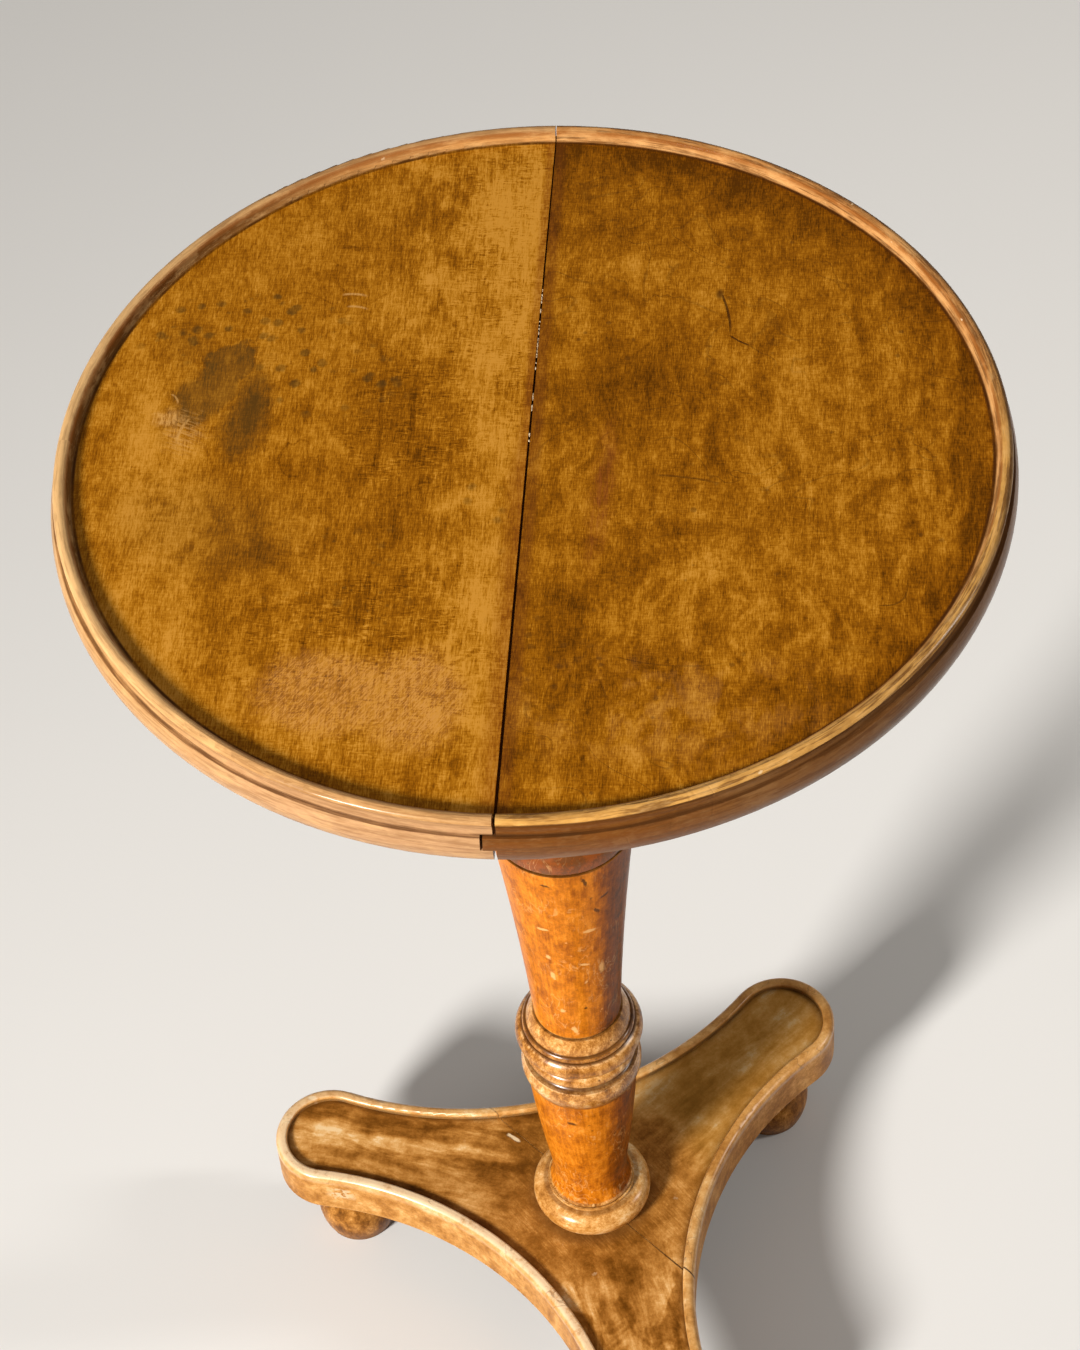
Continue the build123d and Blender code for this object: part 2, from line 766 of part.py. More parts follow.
with BuildPart() as catch_case:
    with BuildSketch(Plane.XY.offset(case_underside)):
        with Locations((case_front - case_length / 2, 0)):
            Rectangle(case_length, case_width)
    extrude(amount=catch_plate_underside - case_underside)
    fillet(catch_case.edges().group_by(Axis.Z)[0], case_round)
    with BuildSketch(Plane.XY.offset(bolt_bottom - slide_clearance)):
        with Locations(((case_front + channel_back) / 2, 0)):
            Rectangle(case_front - channel_back, bolt_width + 2 * slide_clearance)
    extrude(amount=catch_plate_underside - bolt_bottom + slide_clearance, mode=Mode.SUBTRACT)
    with BuildSketch(Plane.XY.offset(case_underside)):
        with Locations((knob_x + bolt_travel / 2, 0)):
            SlotCenterToCenter(bolt_travel, 2 * slot_half_width)
    extrude(amount=2 * case_floor, mode=Mode.SUBTRACT)
export(catch_case.part, "catch_case")

spring_front = bolt_nose - spring_front_cover
spring_back = spring_front - spring_length
groove_floor = bolt_top - spring_groove_depth
spring_crown = groove_floor + slide_clearance
groove_back = spring_back - bolt_travel - 2 * slide_clearance
groove_front = spring_front + 2 * slide_clearance

with BuildPart() as catch_spring:
    with BuildSketch(Plane.XZ):
        with BuildLine():
            spring_middle = (spring_front + spring_back) / 2
            outer = ThreePointArc(
                (spring_back, catch_plate_underside - spring_thickness),
                (spring_middle, spring_crown),
                (spring_front, catch_plate_underside - spring_thickness),
            )
            inner = ThreePointArc(
                (spring_back, catch_plate_underside),
                (spring_middle, spring_crown + spring_thickness),
                (spring_front, catch_plate_underside),
            )
            Line(outer @ 0, inner @ 0)
            Line(outer @ 1, inner @ 1)
        make_face()
    extrude(amount=spring_width / 2, both=True)
export(catch_spring.part, "catch_spring")

with BuildPart() as catch_bolt:
    with BuildSketch(Plane.XY.offset(bolt_bottom)):
        with Locations((bolt_nose - bolt_length / 2, 0)):
            Rectangle(bolt_length, bolt_width)
    extrude(amount=bolt_thickness)
    nose_face = catch_bolt.faces().sort_by(Axis.X)[-1]
    chamfer(nose_face.edges(), bolt_nose_bevel)
    with BuildSketch(Plane.XY.offset(groove_floor)):
        with Locations(((groove_front + groove_back) / 2, 0)):
            Rectangle(groove_front - groove_back, spring_groove_width)
    extrude(amount=spring_groove_depth, mode=Mode.SUBTRACT)
    with BuildSketch(Plane.XY.offset(bolt_bottom)):
        with Locations((knob_x, 0)):
            Circle(knob_stem_radius + glue_clearance)
    extrude(amount=knob_stem_seat, mode=Mode.SUBTRACT)
export(catch_bolt.part, "catch_bolt")

with BuildPart() as catch_knob:
    with BuildSketch(vertical_plane(knob_x, 0)):
        with BuildLine():
            knob_top = case_underside - knob_neck_length
            knob_bottom = knob_top - knob_height
            knob_flat_radius = knob_radius - knob_height / 2
            Polyline(
                (knob_flat_radius, knob_bottom),
                (0, knob_bottom),
                (0, bolt_bottom + knob_stem_seat),
                (knob_stem_radius, bolt_bottom + knob_stem_seat),
                (knob_stem_radius, knob_top),
            )
            TangentArc(
                (knob_radius, knob_top - knob_height / 2),
                (knob_stem_radius, knob_top),
                tangent=(0, 1),
            )
            TangentArc(
                (knob_radius, knob_top - knob_height / 2),
                (knob_flat_radius, knob_bottom),
                tangent=(0, -1),
            )
        make_face()
    revolve(axis=Axis((knob_x, 0, 0), (0, 0, 1)))
export(catch_knob.part, "catch_knob")

# ================================================================ top
with BuildPart() as top_blank:
    with BuildSketch(Plane.XZ):
        with BuildLine():
            Line((0, top_panel), (panel_radius, top_panel))
            quirk_height = table_height - quirk_drop
            crest_inner = (top_radius - crest_inner_inset, table_height - crest_drop)
            crest = (top_radius - crest_inset, table_height)
            crest_outer = (top_radius - crest_outer_inset, table_height - shoulder_drop)
            waist = (top_radius - waist_inset, table_height - waist_drop)
            quirk = (top_radius - quirk_inset, quirk_height)
            bead_head = (top_radius - bead_edge_inset, quirk_height)
            bead_foot = (top_radius - bead_edge_inset, top_underside + bead_foot_rise)
            cove_head = (panel_radius + cove_width, top_panel + cove_height)
            TangentArc((panel_radius, top_panel), cove_head, tangent=(1, 0))
            Line(cove_head, crest_inner)
            TangentArc(crest, crest_inner, tangent=(-1, 0))
            TangentArc(crest, crest_outer, tangent=(1, 0))
            ThreePointArc(crest_outer, waist, quirk)
            Line(quirk, bead_head)
            ThreePointArc(bead_head, (top_radius, (bead_head[1] + bead_foot[1]) / 2), bead_foot)
            Polyline(
                bead_foot,
                (bead_foot[0] - bead_foot_step, top_underside),
                (0, top_underside),
                (0, top_panel),
            )
        make_face()
    revolve(axis=Axis.Z)
    with Locations(*bearer_screw_places):
        Hole(bearer_screw_radius + glue_clearance, bearer_screw_length + glue_clearance)
    with Locations(*catch_screw_places):
        Hole(catch_screw_radius + glue_clearance, catch_screw_length + glue_clearance)

tongue_top = table_height - quirk_drop
tongue_bottom = tongue_top - tongue_thickness
beyond = 2 * top_radius

with BuildPart() as top_board_right:
    add(top_blank.part)
    with BuildSketch(Plane.XZ):
        with BuildLine():
            tongue_tip = seam_x - tongue_length
            Polyline(
                (seam_x, table_height + cut_margin),
                (seam_x, tongue_top),
                (tongue_tip, tongue_top),
                (tongue_tip, tongue_bottom),
                (seam_x, tongue_bottom),
                (seam_x, top_underside - cut_margin),
                (beyond, top_underside - cut_margin),
                (beyond, table_height + cut_margin),
                close=True,
            )
        make_face()
    extrude(amount=beyond, both=True, mode=Mode.INTERSECT)
export(top_board_right.part, "top_board_right")

# The left board's edge runs at a slight angle, because the seam is open more at the front.
seam_opening = seam_gap_front - seam_gap_back
seam_angle = degrees(atan2(seam_opening, 2 * top_radius))
left_edge_middle = seam_x - (seam_gap_front + seam_gap_back) / 2
left_section = Plane(origin=(left_edge_middle, 0, 0), x_dir=(1, 0, 0), z_dir=(0, -1, 0)).rotated(
    (0, 0, -seam_angle)
)

with BuildPart() as top_board_left:
    add(top_blank.part)
    with BuildSketch(left_section):
        with BuildLine():
            groove_depth = tongue_length - seam_gap_back + tongue_tip_clearance
            groove_top_side = tongue_top + tongue_side_clearance
            groove_bottom_side = tongue_bottom - tongue_side_clearance
            Polyline(
                (0, table_height + cut_margin),
                (0, groove_top_side),
                (-groove_depth, groove_top_side),
                (-groove_depth, groove_bottom_side),
                (0, groove_bottom_side),
                (0, top_underside - cut_margin),
                (-beyond, top_underside - cut_margin),
                (-beyond, table_height + cut_margin),
                close=True,
            )
        make_face()
    extrude(amount=beyond, both=True, mode=Mode.INTERSECT)
export(top_board_left.part, "top_board_left")
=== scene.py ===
import json
import math
import random

import bmesh
import bpy
from mathutils import Euler, Matrix, Quaternion, Vector


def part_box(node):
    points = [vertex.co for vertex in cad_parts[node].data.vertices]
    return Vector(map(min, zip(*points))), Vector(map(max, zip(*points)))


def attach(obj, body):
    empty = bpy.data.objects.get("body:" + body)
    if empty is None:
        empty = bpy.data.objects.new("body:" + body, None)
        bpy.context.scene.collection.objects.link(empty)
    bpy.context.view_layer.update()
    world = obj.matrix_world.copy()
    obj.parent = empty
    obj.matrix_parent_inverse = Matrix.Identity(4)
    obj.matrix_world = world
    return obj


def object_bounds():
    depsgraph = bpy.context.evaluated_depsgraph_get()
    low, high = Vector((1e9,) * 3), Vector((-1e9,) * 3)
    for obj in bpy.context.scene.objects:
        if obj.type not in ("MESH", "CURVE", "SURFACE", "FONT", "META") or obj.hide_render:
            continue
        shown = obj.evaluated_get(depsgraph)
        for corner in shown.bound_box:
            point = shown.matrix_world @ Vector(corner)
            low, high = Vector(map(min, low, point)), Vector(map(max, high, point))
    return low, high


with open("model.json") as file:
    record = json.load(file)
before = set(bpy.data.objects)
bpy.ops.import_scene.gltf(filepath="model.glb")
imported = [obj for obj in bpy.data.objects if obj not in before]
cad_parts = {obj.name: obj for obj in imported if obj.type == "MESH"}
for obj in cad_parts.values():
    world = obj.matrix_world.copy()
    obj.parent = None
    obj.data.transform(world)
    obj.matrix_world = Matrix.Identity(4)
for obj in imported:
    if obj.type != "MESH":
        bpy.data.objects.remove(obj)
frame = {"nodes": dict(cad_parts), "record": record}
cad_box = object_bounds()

# Looks of a small tilt-top table: old waxed boards, shellacked pillar, blotchy platform, aged brass.
# Metres, in the CAD frame; the lengths given to patch, stroke, noise, cells, crevice, finish and the
# helpers built on them are in millimetres. Colours are linear.

MM = 0.001

# ---------------------------------------------------------------- places taken from the frame
left_low, left_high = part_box("top_board_left")
right_low, right_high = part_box("top_board_right")
platform_low, platform_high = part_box("platform_board_front")
collar_low, collar_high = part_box("base_collar")
pillar_low, pillar_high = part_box("pillar")
mounts = {mount["name"]: Vector(mount["pos_m"]) for mount in frame["record"]["mounts"]}

TOP_RADIUS = right_high.x
CREST = right_high.z
PANEL = mounts["top_panel"].z
UNDERSIDE = right_low.z
RIM_WIDTH = 11.2 * MM
PANEL_RADIUS = TOP_RADIUS - RIM_WIDTH
SEAM = -0.8 * MM            # edge of the right board
PLATFORM_PANEL = collar_low.z

# Heights at which the turner's tool left a groove, from the floor up.
PILLAR_GROOVES = (0.0995, 0.2136, 0.2300, 0.2406, 0.2458, 0.2570, 0.2606, 0.2707, 0.4339, 0.4492)
GROOVE_DIRT = 0.7 * MM              # how wide the dirt in them spreads
# Bands round the pillar: middle height, half height of the full part, fade on either side.
BROWN_RINGS = ((0.2440, 0.0270, 0.0015), (collar_high.z, 0.0025, 0.0015), (0.4420, 0.0080, 0.0010))
UPPER_STEP = (0.2640, 0.0060, 0.0010)
DARK_STEP = (0.2590, 0.0020, 0.0010)
WORN_EDGES = ((0.2282, 0.0002, 0.0006), (0.2562, 0.0002, 0.0006), (0.2330, 0.0001, 0.0005))
FOOT_DIRT = (0.2140, 0.0008, 0.0022)
COVE_DIRT = (0.2298, 0.0006, 0.0012)
GREY_DUST = (0.2165, 0.0015, 0.0035)
SHOULDER_FOOT = (0.4345, 0.4356)    # the dark shoulder above the trumpet fades in here, and out at its top
SHOULDER_TOP = (0.4560, 0.4620)
UNROLLED_RADIUS = 30 * MM           # mean radius of the trumpet
DAB_SOFTNESS = 0.4                  # of the edges of the pillar's pale and dark marks


# ---------------------------------------------------------------- material building
SOCKETS = {
    "metallic": "Metallic",
    "specular": "Specular IOR Level",
    "tint": "Specular Tint",
    "coat": "Coat Weight",
    "coat_roughness": "Coat Roughness",
}
WAXED = {"specular": 0.04, "tint": (1.0, 0.72, 0.42), "coat_roughness": 0.22}
SHELLAC = {"specular": 0.03, "tint": (1.0, 0.62, 0.34), "coat_roughness": 0.24}
POLISHED = {"specular": 0.06, "tint": (1.0, 0.72, 0.42), "coat_roughness": 0.29}
SEED_STEPS = (7.31, 3.17, 5.73)     # how far a seed moves a texture along X, Y and Z
CREVICE_SAMPLES = 6


def metres(*lengths):
    return tuple(length * MM for length in lengths)


def beyond(place, *lengths):
    """Places that lie the lengths, in millimetres, beyond the given one."""
    return [place + length * MM for length in lengths]


class Finish:
    """One procedural material. Its calls add nodes and give back the socket they end in.

    A tuple given to plus, times or most, or as the factor of mix, stands for its product."""

    def __init__(self, name):
        self.material = bpy.data.materials.new(name)
        self.material.use_nodes = True
        self.nodes = self.material.node_tree.nodes
        self.links = self.material.node_tree.links
        self.shader = self.nodes["Principled BSDF"]
        coordinates = self.node("TexCoord").outputs
        self.point = coordinates["Object"]
        self.normal = coordinates["Normal"]
        self.x, self.y, self.z = self.node("SeparateXYZ", self.point).outputs

    def plug(self, socket, value):
        """A value is a socket to link from, or a number, vector or colour to set."""
        if isinstance(value, bpy.types.NodeSocket):
            self.links.new(value, socket)
        elif isinstance(value, tuple) and len(value) == 3 and socket.type == "RGBA":
            socket.default_value = (*value, 1.0)
        else:
            socket.default_value = value

    def node(self, kind, *values, operation=None, **named):
        """A new node with its inputs given in order or by name."""
        node = self.nodes.new("ShaderNode" + kind)
        if operation:
            node.operation = operation
        for socket, value in zip(node.inputs, values):
            self.plug(socket, value)
        for name, value in named.items():
            self.plug(node.inputs[name], value)
        return node

    def math(self, operation, *values):
        return self.node("Math", *values, operation=operation).outputs[0]

    def product(self, value):
        return self.times(*value) if isinstance(value, tuple) else value

    def fold(self, operation, values):
        result, *rest = [self.product(value) for value in values]
        for value in rest:
            result = self.math(operation, result, value)
        return result

    def times(self, *values):
        return self.fold("MULTIPLY", values)

    def plus(self, *values):
        return self.fold("ADD", values)

    def most(self, *values):
        return self.fold("MAXIMUM", values)

    def around(self, value, amount):
        """A noise moved so that it runs about zero, and multiplied by the amount."""
        return self.math("MULTIPLY_ADD", value, amount, -amount / 2)

    def invert(self, value):
        return self.math("SUBTRACT", 1.0, value)

    def vector(self, operation, *values):
        outputs = self.node("VectorMath", *values, operation=operation).outputs
        return outputs["Value" if operation in ("LENGTH", "DOT_PRODUCT") else 0]

    def dot(self, point, *direction):
        return self.vector("DOT_PRODUCT", point, direction)

    def join(self, x, y, z):
        return self.node("CombineXYZ", x, y, z).outputs[0]

    def turned(self, point, angle):
        """The point turned about the Z axis, in degrees."""
        return self.node("VectorRotate", Vector=point, Angle=math.radians(angle)).outputs[0]

    def placed(self, kind, size, point, seed, **named):
        """A texture node whose features have the size, or sizes along X, Y and Z."""
        sizes = size if isinstance(size, tuple) else (size, size, size)
        shift = tuple(seed * step for step in SEED_STEPS)
        inverse = tuple(1 / length for length in metres(*sizes))
        where = self.vector("MULTIPLY_ADD", self.point if point is None else point, inverse, shift)
        return self.node(kind, Vector=where, Scale=1.0, **named)

    def noise(self, size, seed, detail=3, roughness=0.55, distortion=0, point=None):
        """Noise from zero to one, whose features have the size."""
        node = self.placed(
            "TexNoise", size, point, seed, Detail=detail, Roughness=roughness, Distortion=distortion,
        )
        return node.outputs["Fac"]

    def cells(self, size, point=None, seed=0):
        """Distance to the nearest of scattered points, in shares of their spacing."""
        return self.placed("TexVoronoi", size, point, seed).outputs["Distance"]

    def rise(self, value, low, high, start=0.0, end=1.0):
        """A smooth step from start to end as the value goes from low to high."""
        node = self.node("MapRange", value, low, high, start, end)
        node.interpolation_type = "SMOOTHSTEP"
        return node.outputs[0]

    def fall(self, value, low, high):
        return self.rise(value, low, high, 1.0, 0.0)

    def band(self, value, centre, half_width, softness):
        """One inside a band about the centre, fading to nothing over the softness."""
        distance = self.math("ABSOLUTE", self.math("SUBTRACT", value, centre))
        return self.fall(distance, half_width, half_width + softness)

    def patch(self, centre, radii, softness, ragged=0.0, angle=0.0, ragged_size=12):
        """One inside an ellipse on the XY plane, in millimetres; noise can make its edge ragged."""
        wide, tall = metres(*radii)
        offset = self.vector("SUBTRACT", self.point, (*metres(*centre), 0.0))
        offset = self.turned(offset, -angle)
        offset = self.vector("MULTIPLY", offset, (1 / wide, 1 / tall, 0.0))
        distance = self.vector("LENGTH", offset)
        if ragged:
            wobble = self.noise(ragged_size, centre[0] * 0.1, 4, 0.65)
            distance = self.plus(distance, self.times(self.math("SUBTRACT", wobble, 0.5), ragged))
        return self.fall(distance, 1.0 - softness, 1.0 + softness)

    def stroke(self, start, end, half_width, bow=0.0):
        """One along a scratch from start to end on the XY plane, bowed to its left, in millimetres."""
        start, end = Vector(metres(*start)), Vector(metres(*end))
        along = (end - start).normalized()
        length = (end - start).length
        offset = self.vector("SUBTRACT", self.point, (*start, 0.0))
        u = self.dot(offset, *along, 0.0)
        v = self.dot(offset, -along.y, along.x, 0.0)
        share = self.math("DIVIDE", u, length)
        bend = self.times(share, self.invert(share), 4 * bow * MM)
        across = self.math("ABSOLUTE", self.math("SUBTRACT", v, bend))
        inside = self.times(self.rise(share, -0.02, 0.15), self.fall(share, 0.7, 1.02))
        return self.times(self.fall(across, half_width * 0.3 * MM, half_width * MM), inside)

    def mix(self, factor, a, b):
        node = self.node("Mix", Factor=self.product(factor))
        node.data_type = "RGBA"
        node.clamp_factor = True
        self.plug([s for s in node.inputs if s.name == "A" and s.type == "RGBA"][0], a)
        self.plug([s for s in node.inputs if s.name == "B" and s.type == "RGBA"][0], b)
        return [s for s in node.outputs if s.type == "RGBA"][0]

    def ramp(self, value, stops):
        """The colour at the value on a row of (place, colour) stops."""
        node = self.node("ValToRGB", Fac=value)
        row = node.color_ramp.elements
        while len(row) < len(stops):
            row.new(1.0)
        for element, (place, colour) in zip(row, stops):
            element.position = place
            element.color = (*colour, 1.0)
        return node.outputs["Color"]

    def crevice(self, distance):
        """One deep in a corner or groove of the piece itself, nothing on its open faces."""
        node = self.node("AmbientOcclusion", Distance=distance * MM)
        node.samples = CREVICE_SAMPLES
        node.only_local = True
        return self.invert(node.outputs["AO"])

    def finish(self, colour, roughness, height=None, depth=0.1, **sockets):
        """Sets the shader; height is the bump, depth in millimetres what a height of one stands for."""
        self.plug(self.shader.inputs["Base Color"], colour)
        self.plug(self.shader.inputs["Roughness"], roughness)
        if height is not None:
            bump = self.node("Bump", Distance=depth * MM, Height=height)
            self.links.new(bump.outputs["Normal"], self.shader.inputs["Normal"])
        for name, value in sockets.items():
            self.plug(self.shader.inputs[SOCKETS[name]], value)
        return self.material


def hairlines(f, angle, length, width, amount, seed):
    """Fine straight scratches that run one way on the XY plane; amount is the share that shows."""
    where = f.turned(f.point, -angle)
    marks = f.noise((length, width, length), seed, 1, 0.5, point=where)
    return f.rise(marks, 0.5 + 0.5 * (1 - amount), 0.56 + 0.5 * (1 - amount))


def grain(f, along, width, length, seed, **settings):
    """Noise drawn out along the grain, which runs along "x", "y" or "z"."""
    sizes = tuple(length if axis == along else width for axis in "xyz")
    return f.noise(sizes, seed, **settings)


# ---------------------------------------------------------------- top boards
# Colour of the waxed wood by its lightness, from ingrained dirt to rubbed bare wood.
BOARD_TONES = (
    (0.00, (0.096, 0.029, 0.000)),
    (0.33, (0.230, 0.073, 0.001)),
    (0.49, (0.305, 0.103, 0.002)),
    (0.60, (0.372, 0.134, 0.004)),
    (0.71, (0.445, 0.173, 0.008)),
    (0.84, (0.520, 0.216, 0.016)),
    (1.00, (0.610, 0.270, 0.032)),
)
GOLD_EDGE = 0.0430      # how far the golden band reaches from the seam at the middle
GOLD_SPREAD = 0.10      # how much wider it gets towards the far side
LEFT_TONE = 0.602       # lightness that each board's noises vary about
RIGHT_TONE = 0.497


def ring_distance(f):
    """Distance from the table's middle, on the plan."""
    return f.vector("LENGTH", f.join(f.x, f.y, 0))


def around_rim(f, length, width, seed, detail=4):
    """Noise drawn out round the rim."""
    angle = f.math("ARCTAN2", f.y, f.x)
    where = f.join(f.times(angle, TOP_RADIUS), ring_distance(f), f.z)
    return f.noise((length, width, width), seed, detail, 0.6, point=where)


def towards(f, angle, low, high):
    """One on the side of the table that lies at the angle, fading between two cosines."""
    turn = math.radians(angle)
    r = ring_distance(f)
    side = f.dot(f.point, math.cos(turn), math.sin(turn), 0)
    return f.rise(f.math("DIVIDE", side, r), low, high)


def rim_parts(f):
    """Masks of the rim's members: whole, inner wall, its upper edge, crest, outside, quirk, foot."""
    r = ring_distance(f)
    rim = f.rise(r, *beyond(PANEL_RADIUS, 0.3, 1))
    wall = f.times(rim, f.fall(r, *beyond(TOP_RADIUS, -8.9, -8.2)))
    edge = f.times(
        f.band(r, *beyond(TOP_RADIUS, -8.3), 0.2 * MM, 0.7 * MM), f.rise(f.z, *beyond(CREST, -4, -2)),
    )
    crest = f.times(f.rise(r, *beyond(TOP_RADIUS, -8.5, -7.8)), f.rise(f.z, *beyond(CREST, -2.6, -1.2)))
    outside = f.times(f.rise(r, *beyond(TOP_RADIUS, -5.4, -4.8)), f.fall(f.z, *beyond(CREST, -3.6, -2)))
    quirk = f.times(
        f.band(f.z, *beyond(CREST, -9.2), 0.3 * MM, 0.6 * MM),
        f.fall(r, *beyond(TOP_RADIUS, -2.2, -1.4)), outside,
    )
    foot = f.band(r, *beyond(PANEL_RADIUS, 0.1), 0.3 * MM, 1 * MM)
    return rim, wall, edge, crest, outside, quirk, foot


def board_noises(f, seed):
    """Clouds, mottling, short flecks of grain, cross ripple and faint fibres along the seam."""
    cloud = f.noise((50, 70, 50), seed, 2, 0.5, 0.3)
    mottle = f.noise((14, 22, 20), seed + 1, 4, 0.62, 0.25)
    fleck = f.noise((0.62, 5, 2), seed + 2, 2, 0.8)
    lean = f.around(f.noise((50, 120, 50), seed + 3, 1), 8 * MM)
    fibre = f.noise((2.6, 34, 9), seed + 4, 4, 0.8, point=f.vector("ADD", f.point, f.join(lean, 0, 0)))
    ripple = f.noise((4.6, 0.95, 2), seed + 5, 2, 0.65, 0.6)
    return cloud, mottle, fleck, ripple, fibre


SCRATCHES = ((33, 26, 0.16), (-48, 20, 0.14), (81, 34, 0.15), (8, 22, 0.13))    # angle, length, width


def wear(f, seed, amount=0.16):
    """Fine scratches in several directions, as one mask."""
    lines = [hairlines(f, *row, amount, seed + index) for index, row in enumerate(SCRATCHES)]
    where = f.rise(f.noise(50, seed + 4), 0.42, 0.62)
    return f.times(f.most(*lines), where)


def curls(f, size, seed, width=0.010):
    """Thin lines that wander, like hair scratches and the edges of dried rings; width is in noise."""
    field = f.noise(size, seed, 2, 0.55, 1.2)
    return f.band(field, 0.5, width * 0.3, width)


def bare_underside(f, colour, seed):
    """Dull, darkened, scraped wood under the top, where nobody polished."""
    streak = grain(f, "y", 2.2, 60, seed, detail=4, roughness=0.65)
    scrape = grain(f, "y", 18, 140, seed + 1, detail=2)
    bare = f.mix(streak, (0.105, 0.055, 0.022), (0.24, 0.135, 0.058))
    bare = f.mix((scrape, 0.5), bare, (0.17, 0.085, 0.034))
    under = f.fall(f.z, *beyond(UNDERSIDE, 0.3, 1.6))
    return f.mix(under, colour, bare), under


def spots(f, areas, spacing, radius, seed, softness=0.09):
    """Soft round spots of uneven size, scattered over the areas."""
    wobble = f.around(f.noise(2.6, seed), 0.2)
    size = f.around(f.noise(11, seed + 1, 1), 0.16)
    distance = f.plus(f.cells((spacing, spacing, 1000), seed=seed + 2), wobble, size)
    edge = radius / spacing
    return f.times(f.fall(distance, edge - softness, edge + softness), f.most(*areas))


def waxed(f, colour, mottle, fleck, scratch, under, gloss, dull, relief):
    """A top board's shader; dull adds to its roughness and relief to its height."""
    roughness = f.plus(0.34, (mottle, 0.12), dull, (under, 0.3), (gloss, -0.12))
    height = f.plus((fleck, 0.5), (mottle, 0.8), (scratch, -0.6), relief)
    return f.finish(colour, roughness, height, coat=f.plus(0.12, (gloss, 0.33)), **WAXED)


